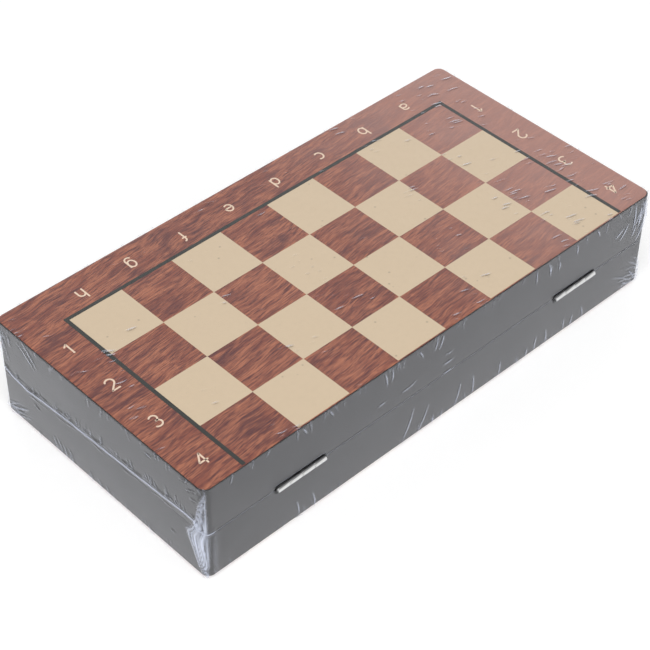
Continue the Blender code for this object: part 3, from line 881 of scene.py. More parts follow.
@dataclass
class PrintedFace:
    """The printed half board on one tray.

    The face is seen from outside, with across to the right and out away from the hinges. The print is
    flat ink on the sheet: light squares, a line round three sides, and letters and figures.
    """

    tray: Tray
    letters: str
    figures: str
    ink: float = 0.00004
    square_inset: float = -0.00009
    line_width: float = 0.0017
    sign_height: float = 0.0060
    stroke: float = 0.00036
    letter_place: float = 0.0091  # from the squares to the middle of a letter
    figure_place: float = 0.0099
    fold_gap: float = 0.0006  # from the hinged edge to the print
    step_up: float = 0.25  # how much higher each stroke of a sign is, as a share of the ink

    def on_face(self, across: Array, out: Array, height: Array) -> Array:
        """Points at a height over the sheet, from face coordinates measured from the case's middle."""
        points = np.stack([-across, out + TRAY_MIDDLE, -(TRAY_DEPTH + height)], -1)
        return self.tray.to_row(points)

    def slab(self, low: tuple[float, float], high: tuple[float, float]) -> Surface:
        """A closed thin box of ink between two corners, from the sheet to the ink's top.

        Args:
            low: the corner with the least across and out.
            high: the opposite corner.
        Returns:
            Points and quads.
        """
        a = np.array([low[0], high[0], high[0], low[0]])
        b = np.array([low[1], low[1], high[1], high[1]])
        rings = [self.on_face(a, b, np.full(4, h)) for h in (0.0, self.ink)]
        return closed_tube(np.stack(rings))

    def light_squares(self) -> Surface:
        """The light squares: every second one, from the hinged edge on the tray's own -X side.

        Returns:
            Points and quads.
        """
        parts = []
        gap = self.square_inset
        for file in range(FILES):
            for rank in range(RANKS):
                if (file + rank) % 2:
                    continue
                x = -(file * SQUARE - FILES * SQUARE / 2)
                y = rank * SQUARE - CASE_WIDTH / 2
                near = gap if rank else self.fold_gap
                parts.append(self.slab((x - SQUARE + gap, y + near), (x - gap, y + SQUARE - gap)))
        return joined(parts)

    def border_line(self) -> Surface:
        """The line round the squares, on every side but the hinged one.

        Returns:
            Points and quads.
        """
        half = FILES * SQUARE / 2
        low, high = -CASE_WIDTH / 2 + self.fold_gap, RANKS * SQUARE - CASE_WIDTH / 2
        wide = half + self.line_width
        top = high + self.line_width
        corners = (((-wide, low), (-half, top)), ((half, low), (wide, top)), ((-half, high), (half, top)))
        return joined([self.slab(*pair) for pair in corners])

    def stroke_solid(self, line: Array, ink: float) -> Surface:
        """A stroke of ink: the line swept with a flat section, its width a half circle at each open end.

        Args:
            line: the stroke's middle on the face; a closed line starts and ends on one point.
            ink: the ink's thickness.
        Returns:
            Points and quads.
        """
        steps = np.linalg.norm(np.diff(line, axis=0), axis=1)
        length = np.concatenate([[0.0], np.cumsum(steps)])
        total = length[-1]
        loop = bool(np.linalg.norm(line[0] - line[-1]) < 1e-7)
        turn = np.sin(np.linspace(0, np.pi / 2, 6)) * self.stroke
        inner = np.arange(2 * self.stroke, total - 2 * self.stroke, self.stroke)
        ends = (self.stroke - turn, total - self.stroke + turn)
        at = np.unique(np.concatenate([ends[0], inner, ends[1], length[1:-1]]))
        at = length if loop else at[(at > 1e-6) & (at < total - 1e-6)]
        centre = np.stack([np.interp(at, length, line[:, i]) for i in (0, 1)], -1)
        reach = np.where(loop, self.stroke, np.minimum(at, total - at))
        short = 1 - np.clip(reach / self.stroke, 0, 1)
        width = self.stroke * np.sqrt(np.clip(1 - short**2, 0.0004, 1))
        ahead = np.gradient(centre, axis=0)
        if loop:
            ahead[0] = ahead[-1] = centre[1] - centre[-2]
        ahead /= np.linalg.norm(ahead, axis=1, keepdims=True)
        normal = np.stack([-ahead[:, 1], ahead[:, 0]], -1) * width[:, None]
        left, right = centre + normal, centre - normal
        sides = ((left, ink), (right, ink), (right, 0.0), (left, 0.0))
        rings = np.stack([self.on_face(*side.T, np.full(len(side), h)) for side, h in sides], 1)
        return solid(rings) if loop else closed_tube(rings)

    def sign(self, letter: str, across: float, out: float, turned: bool) -> list[Surface]:
        """The strokes of one sign at a place, each a little higher than the last.

        Args:
            letter: which sign.
            across: its middle across the face.
            out: its middle out from the case's middle.
            turned: whether it is turned half a turn.
        Returns:
            The strokes' surfaces.
        """
        way = -self.sign_height if turned else self.sign_height
        place = np.array([across, out])
        return [
            self.stroke_solid(place + way * line, self.ink * (1 + self.step_up * number))
            for number, line in enumerate(SIGNS[letter])
        ]

    def coordinates(self) -> Surface:
        """Letters along the far edge and figures down both ends.

        Returns:
            Points and quads.
        """
        parts: list[Surface] = []
        edge = CASE_WIDTH / 2 - BORDER + self.letter_place
        end = FILES * SQUARE / 2 + self.figure_place
        for number, letter in enumerate(self.letters):
            parts += self.sign(letter, (number + 0.5 - FILES / 2) * SQUARE, edge, True)
        for number, figure in enumerate(self.figures):
            out = CASE_WIDTH / 2 - BORDER - (number + 0.5) * SQUARE
            parts += self.sign(figure, -end, out, False)
            parts += self.sign(figure, end, out, True)
        return joined(parts)

    def build(self, finishes: Finishes) -> None:
        """Makes the inks that lie on the sheet.

        Args:
            finishes: the materials by finish.
        """
        for name, surface, finish in (
            ("light_squares", self.light_squares(), Finish.CREAM),
            ("border_line", self.border_line(), Finish.LINE),
            ("coordinates", self.coordinates(), Finish.LETTERS),
        ):
            piece = make_object(f"{self.tray.value}_{name}", surface, finishes[finish])
            finish_piece(piece, self.tray.body)


# ---------------------------------------------------------------- linings
@dataclass
class Lining:
    """The felt glued inside one tray: a flat sheet with rounded corners and a slightly uneven top."""

    tray: Tray
    wave: float = 0.00012
    columns: int = 150
    rows: int = 72

    def surface(self) -> Surface:
        """A slab over a grid pressed into the lining's box.

        The top's height is the box's, less a small sum of sines. The back is flat, and a strip of quads
        round the edge joins the two.

        Returns:
            Points and quads.
        """
        low, high = (np.array(corner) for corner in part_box(f"{self.tray.value}_lining"))
        middle, half = (low + high) / 2, (high - low) / 2
        u, v = np.meshgrid(np.linspace(-1, 1, self.columns), np.linspace(-1, 1, self.rows))
        x, y = middle[0] + u * half[0], middle[1] + v * half[1]
        wave = np.sin(x * 310) * np.sin(y * 270 + 1) + 0.6 * np.sin(x * 130 + y * 190)
        up = self.tray.side
        face = (high[2] if up > 0 else low[2]) - up * self.wave * (0.5 + 0.3 * wave)
        back = np.full_like(x, low[2] if up > 0 else high[2])
        top = np.stack([x, y, face], -1)
        under = np.stack([x, y, back], -1)
        near = np.arange(self.columns)
        right = np.arange(1, self.rows) * self.columns + self.columns - 1
        far = (self.rows - 1) * self.columns + np.arange(self.columns - 2, -1, -1)
        home = np.arange(self.rows - 2, 0, -1) * self.columns
        loop = np.concatenate([near, right, far, home])
        count = self.rows * self.columns
        faces = grid_quads(self.rows, self.columns)
        sides = np.stack([loop, loop + count, np.roll(loop, -1) + count, np.roll(loop, -1)], -1)
        quads = np.concatenate([faces, faces[:, ::-1] + count, sides])
        if up < 0:
            quads = quads[:, ::-1]
        return np.concatenate([top.reshape(-1, 3), under.reshape(-1, 3)]), quads

    def build(self, finishes: Finishes) -> None:
        """Args:
            finishes: the materials by finish.
        """
        prefix = self.tray.value
        node = f"{prefix}_lining"
        piece = make_object(f"{prefix}_felt", self.surface(), finishes[Finish.FELT])
        finish_piece(piece, self.tray.body, (node,))


# ---------------------------------------------------------------- shrink film
class Wall(Enum):
    """The four sides of the case, in the order in which the film's way round passes them."""

    HINGE = 0
    RIGHT = 1
    FAR = 2
    LEFT = 3


@dataclass
class Folds:
    """Raised folds of the film, each a slightly bowed ridge between two places on the unrolled side.

    A fold's rise over a point is its height times a bell of the distance from its line, with a trough
    beside it, and it tapers to nothing at both ends. Its painted highlight is a narrower bell on the
    ridge, and its painted shade the same over the trough.
    """

    lap: float
    rows: list[tuple[float, ...]] = field(default_factory=list)

    def add(
        self,
        start: tuple[float, float],
        end: tuple[float, float],
        width: float,
        height: float,
        painted_highlight: float,
        shade: float,
    ) -> None:
        """One more fold between two (way round, height over the parting plane) places, in metres."""
        self.rows.append((*start, *end, width, height, painted_highlight, shade))

    def relief(self, way: Array, up: Array) -> tuple[Array, Array, Array]:
        """The sum of all folds over points of the unrolled side.

        Args:
            way: distance round the case for each point.
            up: height from the parting plane for each point.
        Returns:
            The rise outwards, the painted highlight and the painted shade at each point.
        """
        rise, painted_highlight, shade = np.zeros_like(way), np.zeros_like(way), np.zeros_like(way)
        for s0, h0, s1, h1, width, height, highlight_level, dark in self.rows:
            ds = (way - s0 + self.lap / 2) % self.lap - self.lap / 2
            run_s, run_h = s1 - s0, h1 - h0
            length = max(math.hypot(run_s, run_h), 1e-9)
            along = (ds * run_s + (up - h0) * run_h) / length**2
            off = (ds * run_h - (up - h0) * run_s) / length + 0.05 * length * np.sin(np.pi * along)
            near = (along > 0) & (along < 1) & (np.abs(off) < 3.5 * width)
            a, o = along[near], off[near] / width
            taper = np.sin(np.pi * a) ** 0.6
            rise[near] += height * (bell(o) - 0.5 * bell(o, 1.7)) * taper
            # painted highlight along the ridge, painted shade beside it over the trough
            painted_highlight[near] = np.maximum(painted_highlight[near], highlight_level * bell(1.6 * o) * taper)
            shade[near] = np.maximum(shade[near], dark * bell(1.5 * (o - 1.4)) * taper)
        return rise, painted_highlight, shade


@dataclass
class FilmHalf:
    """The shrink film over one tray, from its face round the edges to the parting line.

    The film is one sheet: a face that closes on the case's long middle line, a rounded edge, and sides
    that run down to the rim. Its rim follows the parting plane, arches over each hinge and follows the
    wandering seam on the left side.
    """

    tray: Tray
    seed: int
    air: float = 0.00045
    edge_radius: float = 0.0007
    hinge_half: float = 0.0128
    arch: float = 0.0021
    rim: float = 0.00016
    hinge_side_rise: float = 0.00025

    def __post_init__(self) -> None:
        """Works out the outline's lengths."""
        self.half_length = CASE_LENGTH / 2
        self.half_width = CASE_WIDTH / 2
        self.straight_x = CASE_LENGTH - 2 * CASE_CORNER
        self.straight_y = CASE_WIDTH - 2 * CASE_CORNER
        self.turn = math.pi / 2 * CASE_CORNER
        self.lap = 2 * (self.straight_x + self.straight_y) + 4 * self.turn
        self.up = -self.tray.side  # 1 where the film's face looks up

    def at_wall(self, wall: Wall, along: float) -> float:
        """The way round at a place along a side, given by its X on the long sides and its Y on the ends.

        Args:
            wall: the side.
            along: the place, from the case's middle.
        Returns:
            The distance round the case.
        """
        x_run, y_run, turn = self.straight_x, self.straight_y, self.turn
        return {
            Wall.HINGE: x_run / 2 + along,
            Wall.RIGHT: x_run + turn + y_run / 2 + along,
            Wall.FAR: 1.5 * x_run + 2 * turn + y_run - along,
            Wall.LEFT: 2 * x_run + 3 * turn + 1.5 * y_run - along,
        }[wall]

    def columns(self) -> Array:
        """The way round of each column: closest at the corners that show most, widest on the far side.

        Returns:
            Distances round the case, rising.
        """
        x_run, y_run, turn = self.straight_x, self.straight_y, self.turn
        near, right = 0.009, 0.024
        long_side = np.concatenate(
            [
                np.linspace(0, near, 30, endpoint=False),
                np.linspace(near, x_run - right, 540, endpoint=False),
                np.linspace(x_run - right, x_run, 76),
            ]
        )
        bend = np.linspace(0, turn, 16)[1:-1]
        left = y_run * (1 - np.linspace(1, 0, 250) ** 1.5)
        return np.concatenate(
            [
                long_side,
                x_run + bend,
                x_run + turn + np.linspace(0, y_run, 115),
                x_run + turn + y_run + bend,
                x_run + 2 * turn + y_run + np.linspace(0, x_run, 165),
                2 * x_run + 2 * turn + y_run + bend,
                2 * x_run + 3 * turn + y_run + left,
                self.lap - turn + bend,
            ]
        )

    def outline(self, way: Array) -> tuple[Array, Array]:
        """Points and outward directions of the case's outline at distances round it.

        Each side is a straight run; between two sides the outline turns through a quarter circle.

        Args:
            way: the distances round the case.
        Returns:
            The points and the directions, as (X, Y).
        """
        x, y = self.half_length - CASE_CORNER, self.half_width - CASE_CORNER
        corners = np.array([(-x, -y), (x, -y), (x, y), (-x, y)])
        runs = np.array([self.straight_x, self.straight_y, self.straight_x, self.straight_y])
        starts = np.concatenate([[0.0], np.cumsum(runs + self.turn)])[:4]
        side = np.clip(np.searchsorted(starts, way, side="right") - 1, 0, 3)
        local = way - starts[side]
        angle = -np.pi / 2 + side * np.pi / 2 + np.clip((local - runs[side]) / CASE_CORNER, 0, np.pi / 2)
        normal = np.stack([np.cos(angle), np.sin(angle)], -1)
        heading = side * np.pi / 2
        forward = np.stack([np.cos(heading), np.sin(heading)], -1)
        centre = corners[side] + forward * np.minimum(local, runs[side])[:, None]
        return centre + normal * CASE_CORNER, normal

    def rim_height(self, way: Array) -> Array:
        """Height of the film's rim over the parting plane: the seam on the left, arches at the hinges.

        Args:
            way: distance round the case for each point.
        Returns:
            The heights.
        """
        from_middle = way - self.at_wall(Wall.HINGE, 0.0)
        rim = np.full_like(way, self.rim)
        for centre in (-3 * SQUARE, 3 * SQUARE):
            beyond = (self.hinge_half - np.abs(from_middle - centre)) / 0.0006
            rim = np.maximum(rim, self.rim + self.arch * np.clip(beyond, 0, 1) ** 0.5)
        y = -(way - self.at_wall(Wall.LEFT, 0.0))
        places = np.array([-60, -57.8, -55.5, -50, -35, -15, 0, 15, 30, 42, 52, 57, 60]) / 1000
        seam = np.array([0.0, 1.6, 4.3, 4.5, 3.3, 2.0, 1.1, 0.3, -1.0, -2.5, -1.2, 0.9, 0.0]) / 1000
        ripple = 0.00014 * np.sin(y * 700) * np.sin(y * 310 + 0.7)
        on_left = (np.abs(y) < self.half_width) & (way > self.at_wall(Wall.FAR, 0.0))
        line = np.interp(y, places, seam) + ripple * np.clip((0.05 - np.abs(y)) / 0.01, 0, 1)
        return np.where(on_left, self.rim + self.up * line, rim)

    def folds(self) -> Folds:
        """All folds: short pleats along the face's edge, fans at the corners, and those in known places.

        Returns:
            The folds.
        """
        rng = np.random.default_rng(self.seed)
        folds = Folds(self.lap)
        top = TRAY_DEPTH
        walls = (
            (Wall.HINGE, self.half_length, 36, 0.00016),
            (Wall.RIGHT, self.half_width, 22, 0.00030),
            (Wall.FAR, self.half_length, 44, 0.00030),
            (Wall.LEFT, self.half_width, 24, 0.00026),
        )
        for wall, reach, count, height in walls:
            for _ in range(count):
                start = self.at_wall(wall, rng.uniform(-reach, reach))
                length = rng.uniform(0.0015, 0.006)
                end = (start + rng.normal(0.0, 0.0012), top - length)
                width = rng.uniform(0.0003, 0.00045)
                share = rng.uniform(0.4, 1.1)
                # the last two numbers are the painted highlight on the ridge and the painted shade beside it
                folds.add((start, top + 0.001), end, width, height * share, 0.3 * share, 0.2 * share)
        for wall, along, way, number in (
            (Wall.RIGHT, -self.half_width, 1.0, 12),
            (Wall.HINGE, self.half_length, -1.0, 13),
            (Wall.FAR, self.half_length, 1.0, 8),
            (Wall.LEFT, self.half_width, 1.0, 9),
        ):
            corner = self.at_wall(wall, along)
            rise = 0.00026 if wall is Wall.HINGE else 0.00038
            for _ in range(number):
                angle = rng.uniform(0.9, 1.5) if self.tray is Tray.UPPER else rng.uniform(0.2, 1.2)
                length = rng.uniform(0.006, 0.020)
                start = (corner + way * rng.uniform(-0.004, 0.005), top - rng.uniform(-0.0005, 0.004))
                stop = (start[0] + way * length * math.cos(angle), start[1] - length * math.sin(angle))
                share = rng.uniform(0.5, 1.1)
                folds.add(start, stop, rng.uniform(0.0003, 0.0005), rise * share, 0.6 * share, 0.35 * share)
        self.placed_folds(folds, rng)
        return folds

    def placed_folds(self, folds: Folds, rng: np.random.Generator) -> None:
        """Folds that stand in known places on the two sides that show most, in millimetres.

        Args:
            folds: where they are kept.
            rng: the draws for the short folds along the seam.
        """
        left, hinge = Wall.LEFT, Wall.HINGE
        if self.tray is Tray.UPPER:
            places = ((46, 3, 10, 8), (42.5, 0.5, 8, 9), (52, 3, 1, 6), (-29, 4, 3, 0.2))
            self.folds_mm(folds, left, places, 0.00055, 0.55, 0.9)
            places = ((-47.5, 2.5, 5, -1.6), (-51, 5.5, 5, -2.5), (-53, 8.5, 3, -1))
            self.folds_mm(folds, left, places, 0.0005, 0.1, 0.9)
            for _ in range(34):
                start = self.at_wall(left, rng.uniform(-0.055, 0.052))
                rim = float(self.rim_height(np.array([start]))[0])
                base = (start, rim + rng.uniform(0.0005, 0.0012))
                share = rng.uniform(0.4, 1.0)
                end = (start - rng.uniform(0, 0.0022), base[1] + rng.uniform(0.0018, 0.0055))
                folds.add(base, end, 0.00038, 0.00045 * share, 0.5 * share, 0.5 * share)
            places = (
                (-74, 1, 2, 4), (-61, 1, 2, 4), (-33, 1, 1.5, 8), (-29, 1, 0, 7), (-15, 2, 2.5, 4.5),
                (-5, 1, -1.5, 6), (-2, 1, -2, 7), (50, 1, 0.5, 7), (57, 1, 2, 8), (59, 3, -0.5, 5),
                (64, 4, 0, 5), (74, 1, 0.5, 6), (86, 1, 2, 4),
            )
            self.folds_mm(folds, hinge, places, 0.00028, 0.7, 0.4)
            places = (
                (-15, 16, -9, 1.5), (5, 17.5, -6.5, 0), (4, 22.5, -5, 0), (-32, 16, -4, 0.5), (4, 13, -4, 0),
            )
            self.folds_mm(folds, hinge, places, 0.00025, 0.7, 1.0)
            places = (
                (104, 10, -5, 3), (107, 9, -5, 7), (115, 6, -4.5, 7), (110, 1, 0, 14), (114, 2, -1, 14),
                (112, 13, -2, 5), (117, 14, -4, 8), (118, 6, -1.5, 12), (116, 1, 1, 12),
            )
            self.folds_mm(folds, hinge, places, 0.0003, 1.0, 0.6)
            return
        pleats = ((26, 7.5), (23, 8), (20, 7), (16.5, 7.5), (4.5, 5.5), (-1, 5), (-5.5, 5), (36, 3), (-30, 4))
        self.folds_mm(folds, left, [(y, 0, -2.6, length) for y, length in pleats], 0.0005, 0.65, 0.4)
        self.folds_mm(folds, left, ((39, 17, 3.4, -1.2), (-41, 13, 2.4, -0.4)), 0.0005, 0.2, 0.8)
        places = (
            (-76, 2, -1, 8), (-68, 0, -1, 9), (-23, 1, 7, 16), (-14, 1, 6, 12), (-6, 1, 1, 4), (-1, 1, 1, 4),
            (6, 0, 4, 13), (17, 1, 0, 11), (32, 1, 1, 8), (43, 1, 0, 4), (48, 1, 1, 5), (53, 1, 1, 8),
            (60, 1, 0, 8), (71, 2, 0, 6), (75, 1, 1.5, 6), (83, 2, -1, 6), (112, 2, -4, 3), (116.5, 2, -5, 8),
        )
        self.folds_mm(folds, hinge, places, 0.00028, 0.75, 0.35)
        # a broad faint painted highlight down the near end of the hinged side
        soft = self.at_wall(hinge, -0.115)
        folds.add((soft, -0.002), (soft, TRAY_DEPTH + 0.002), 0.0016, 0.0001, 0.10, 0.0)

    def folds_mm(
        self,
        folds: Folds,
        wall: Wall,
        places: list[tuple[float, ...]],
        height: float,
        painted_highlight: float,
        shade: float,
    ) -> None:
        """Folds of one kind whose places are given in millimetres.

        Args:
            folds: where they are kept.
            wall: the side they are on.
            places: where each starts along the side and below the face's edge, then how far it goes along
                the way round and towards the parting plane.
            height: their rise in metres.
            painted_highlight: the painted highlight on their ridges.
            shade: the painted shade in their troughs.
        """
        for along, drop, ahead, fall in places:
            start = (self.at_wall(wall, along / 1000), TRAY_DEPTH + 0.0004 - drop / 1000)
            end = (start[0] + ahead / 1000, start[1] - fall / 1000)
            folds.add(start, end, 0.00036, height, painted_highlight, shade)

    def gather(self, way: Array, up: Array) -> tuple[Array, Array]:
        """Rise and cloudiness of the film gathered at the near corner.

        The gathered film is a band on the left side whose one edge is the corner's upright. It is narrow
        under the top, widest just below the parting plane and narrow again at the bottom. Inside it the
        film runs in upright strands, random over the share across the band, so that they fan out from
        its two ends. Three sets of strands blend into each other from bottom to top.

        Args:
            way: distance round the case for each point.
            up: height from the parting plane for each point.
        Returns:
            The rise and the cloudiness at each point.
        """
        height = up * self.up  # over the parting plane, upwards for both trays
        places = np.array([-23.4, -21, -16, -10, -5.5, -2.5, 0.5, 4, 9.5, 16.7, 20, 22.5]) / 1000
        widths = np.array([0.9, 1.9, 4.9, 7.4, 9.6, 10.4, 7.4, 5.4, 4.0, 2.3, 1.2, 0.0]) / 1000
        reach = np.interp(height, places, widths)
        ds = (way - (self.lap - self.turn / 2 + 0.0004) + self.lap / 2) % self.lap - self.lap / 2
        share = -ds / np.maximum(reach, 1e-5)
        inside = (share > -0.12) & (share < 1) & (reach > 1e-5)
        rng = np.random.default_rng(21)
        knots = np.linspace(-0.15, 1.0, 34)
        strands = [rng.uniform(0, 1, len(knots)) ** 1.3 for _ in range(3)]
        moved = share + 0.02 * np.sin(height * 300)
        low, middle, high = (np.interp(moved, knots, values) for values in strands)
        lift = np.clip((height + 0.006) / 0.010, -1, 1)
        mixed = middle + np.clip(lift, 0, 1) * (high - middle) + np.clip(-lift, 0, 1) * (low - middle)
        window = np.clip((1 - share) / 0.25, 0, 1) ** 0.7 * np.clip((share + 0.12) / 0.16, 0, 1)
        rise = np.where(inside, (0.00015 + 0.0007 * mixed) * window, 0.0)
        dense = 0.5 + 0.5 * bell(height, -0.007, 0.010)
        milky = window * np.clip(0.1 + 1.15 * mixed, 0, 1) * dense * (1 - 0.3 * np.clip(share, 0, 1))
        return rise, np.where(inside, milky, 0.0) * 1.25

    def surface(self) -> tuple[Surface, Array]:
        """The film's points, quads, and cloudiness with painted highlights and painted shade.

        Row by row from the rim: the sides, at the outline plus the air gap and the rise, at heights from
        the rim to the edge; a quarter circle over the edge; then the face, in three shrinking rings and
        a last one whose rows meet on the middle line.

        Returns:
            The surface, and at each of its points the cloudiness with painted highlights added and painted
            shade taken off.
        """
        way = self.columns()
        line, normal = self.outline(way)
        depth = TRAY_DEPTH + self.air
        rim = self.rim_height(way)
        spans = ((0, 0.14, 14), (0.14, 0.72, 28), (0.72, 1, 20))
        step = np.unique(np.concatenate([np.linspace(*span) for span in spans]))
        side_up = rim + (depth - self.edge_radius - rim) * step[:, None]
        side_way = np.broadcast_to(way, side_up.shape)
        folds, painted_highlight, shade = self.folds().relief(side_way, side_up)
        bunch, cloud = self.gather(side_way, side_up)
        over_rim = side_up - rim
        on_left = (way > self.at_wall(Wall.LEFT, self.half_width - 0.003)) | (way < 0.0008)
        main = 1.0 if self.tray is Tray.UPPER else 0.25
        bead = main * bell(over_rim, 0.0003, 0.00026)
        patchy = np.clip(0.45 + 0.6 * np.sin(way * 330) + 0.45 * np.sin(way * 790 + 1), 0.05, 1.2)
        second = 0.0006 * main * patchy * bell(over_rim, 0.0019 + 0.0004 * np.sin(way * 500), 0.0004)
        # painted shade: a dark line just above the seam on the left side
        dark = np.where(on_left, 0.6 * main * patchy * bell(over_rim, 0.0011, 0.0003), 0.0)
        rise = folds + bunch + np.where(on_left, 0.00045 * bead + second, 0.00006 * bead)
        hinge_side = normal[:, 1] < -0.95
        low = np.where(hinge_side, -0.00012, -0.0002)
        rise = np.clip(rise, low, np.where(hinge_side, self.hinge_side_rise, 0.002))
        seam = np.where(on_left, 0.95 * bead, 0.5 * main * bell(over_rim, 0.0, 0.00018))
        # cloudiness of gathered film and seam plus the painted highlights, less the painted shade
        cloud = np.clip(np.maximum(np.maximum(cloud, painted_highlight), seam), 0, 1)
        cloud -= np.clip(0.55 * np.maximum(shade, dark) * (1 - 3 * cloud), 0, 1)
        rows = [self.row(line, normal, self.air + out, up) for out, up in zip(rise, side_up)]
        clouds = list(cloud)
        for angle in np.linspace(0, np.pi / 2, 6)[1:]:
            fade = math.cos(angle)
            out = self.air + rise[-1] * fade - self.edge_radius * (1 - math.cos(angle))
            height = depth - self.edge_radius + self.edge_radius * math.sin(angle)
            rows.append(self.row(line, normal, out, np.full_like(way, height)))
            clouds.append(cloud[-1] * fade)
        edge = rows[-1][:, :2]
        spine_reach = self.half_length - self.half_width
        spine = np.stack([np.clip(edge[:, 0], -spine_reach, spine_reach), 0 * way], -1)
        for share in (0.03, 0.25, 0.6, 1.0):
            flat = edge + (spine - edge) * share
            rows.append(np.concatenate([flat, np.full((len(way), 1), depth)], -1))
            clouds.append(np.zeros_like(way))
        points = np.stack(rows)
        points[..., 2] = FOLD[2] + self.up * points[..., 2]
        quads = grid_quads(len(rows), len(way), wrap=True)
        if self.up < 0:
            quads = quads[:, ::-1]
        return (points.reshape(-1, 3), quads), np.concatenate(clouds)

    def row(self, line: Array, normal: Array, out: Array, height: Array) -> Array:
        """One row of points: the outline moved out along its normal, at a height from the parting plane."""
        flat = line + normal * np.broadcast_to(out, (len(line),))[:, None]
        return np.concatenate([flat, height[:, None]], -1)

    def build(self, finishes: Finishes) -> None:
        """Makes the film, with its cloudiness, painted highlights and painted shade as one attribute.

        Args:
            finishes: the materials by finish.
        """
        surface, cloud = self.surface()
        prefix = self.tray.value
        # the cloud attribute also carries the painted highlights and, below zero, the painted shade
        masks = {"cloud": cloud}
        piece = make_object(f"{prefix}_film", surface, finishes[Finish.FILM], 180.0, masks, closed=False)
        finish_piece(piece, self.tray.body, (f"{prefix}_shrink_film",))


# ---------------------------------------------------------------- chessmen
class Profile:
    """A turned outline from the foot's middle to the top, as (radius, height) in metres."""

    def __init__(self, base: float, height: float) -> None:
        """Starts at the middle of the foot.

        Args:
            base: the foot's radius.
            height: the piece's height, which heights are shares of.
        """
        self.base, self.height = base, height
        self.points: list[Array] = [np.array([[0.0, 0.0]])]

    def line(self, *places: tuple[float, float], steps: int = 3) -> "Profile":
        """Straight runs to each (share of the foot's radius, share of the height).

        Args:
            steps: how many points it adds.
            places: where to go, one after another.
        Returns:
            The profile.
        """
        for radius, height in places:
            start, end = self.points[-1][-1], np.array([radius * self.base, height * self.height])
            share = np.linspace(0, 1, steps + 1)[1:, None]
            self.points.append(start + (end - start) * share)
        return self

    def cove(self, radius: float, height: float, pull: tuple[float, float], steps: int = 12) -> "Profile":
        """A curve to a place, drawn towards pull: a quadratic blend of start, pull and end.

        Args:
            radius: the end's share of the foot's radius.
            height: the end's share of the height.
            pull: the drawing place, in the same shares.
            steps: how many points it adds.
        Returns:
            The profile.
        """
        start = self.points[-1][-1]
        end = np.array([radius * self.base, height * self.height])
        middle = np.array([pull[0] * self.base, pull[1] * self.height])
        t = np.linspace(0, 1, steps + 1)[1:, None]
        self.points.append((1 - t) ** 2 * start + 2 * t * (1 - t) * middle + t**2 * end)
        return self

    def bead(self, radius: float, low: float, high: float, steps: int = 8) -> "Profile":
        """A half-round ring of that outer radius between two heights.

        Args:
            radius: the outer radius, as a share.
            low: the lower height, as a share.
            high: the upper height, as a share.
            steps: how many points it adds.
        Returns:
            The profile.
        """
        inner = self.points[-1][-1][0]
        outer = radius * self.base
        angle = np.linspace(-np.pi / 2, np.pi / 2, steps)
        middle, half = (low + high) / 2 * self.height, (high - low) / 2 * self.height
        radii = inner + (outer - inner) * np.cos(angle)
        self.points.append(np.stack([radii, middle + half * np.sin(angle)], -1))
        return self

    def dome(self, radius: float, low: float, high: float, steps: int = 18) -> "Profile":
        """A ball-like top between two heights: an ellipse of that radius, closed at the axis.

        Args:
            radius: the widest radius, as a share.
            low: the lower height of the whole ellipse, as a share.
            high: the upper height, as a share.
            steps: how many points it adds.
        Returns:
            The profile.
        """
        outer = radius * self.base
        middle, half = (low + high) / 2 * self.height, (high - low) / 2 * self.height
        start = min(self.points[-1][-1][0] / outer, 0.999)
        angle = np.linspace(-math.acos(start), np.pi / 2, steps)
        self.points.append(np.stack([outer * np.cos(angle), middle + half * np.sin(angle)], -1))
        return self

    def foot(self) -> "Profile":
        """The moulded foot that all the pieces share: an eased rim, a step and a cove."""
        return self.line((0.93, 0.0), steps=5).cove(1.0, 0.018, (1.0, 0.0), 4)

    def outline(self) -> Array:
        """All points, from the foot's middle up."""
        return np.concatenate(self.points)


def lathe(outline: Array, sides: int = 56) -> Array:
    """Rings of a turned solid: each outline point carried round the axis, as (rings, sides, 3).

    Args:
        outline: points of (radius, height).
        sides: points in a ring.
    Returns:
        The rings.
    """
    angle = circle(sides)
    radius, height = outline[:, :1], outline[:, 1:]
    return np.stack([radius * np.cos(angle), radius * np.sin(angle), height + 0 * angle], -1)


def solid(rings: Array) -> Surface:
    """Points and quads of a turned solid whose first and last rings are on the axis."""
    return rings.reshape(-1, 3), grid_quads(len(rings), rings.shape[1], wrap=True)


class Rank(Enum):
    """The kinds of chessman, with height and foot radius in metres as the solids have them."""

    KING = ("king", 0.052, 0.009)
    QUEEN = ("queen", 0.047, 0.00875)
    BISHOP = ("bishop", 0.040, 0.00825)
    KNIGHT = ("knight", 0.035, 0.00825)
    ROOK = ("rook", 0.030, 0.008)
    PAWN = ("pawn", 0.028, 0.00725)

    def __init__(self, word: str, height: float, base: float) -> None:
        """Keeps the kind's name in node names, its height and the radius of its foot."""
        self.word, self.height, self.base = word, height, base

    @property
    def profile(self) -> Profile:
        """A profile of the kind's size that has only its foot."""
        return Profile(self.base, self.height).foot()


def pawn_shape() -> Surface:
    """A pawn: foot, tapering stem, collar and ball.

    Returns:
        Points and quads.
    """
    p = Rank.PAWN.profile.line((1.0, 0.115)).cove(0.86, 0.15, (1.0, 0.15), 5).line((0.86, 0.175))
    p.cove(0.36, 0.56, (0.46, 0.26), 18).bead(0.66, 0.575, 0.625, 9).line((0.42, 0.64))
    p.dome(0.61, 0.62, 1.0, 22)
    return solid(lathe(p.outline()))


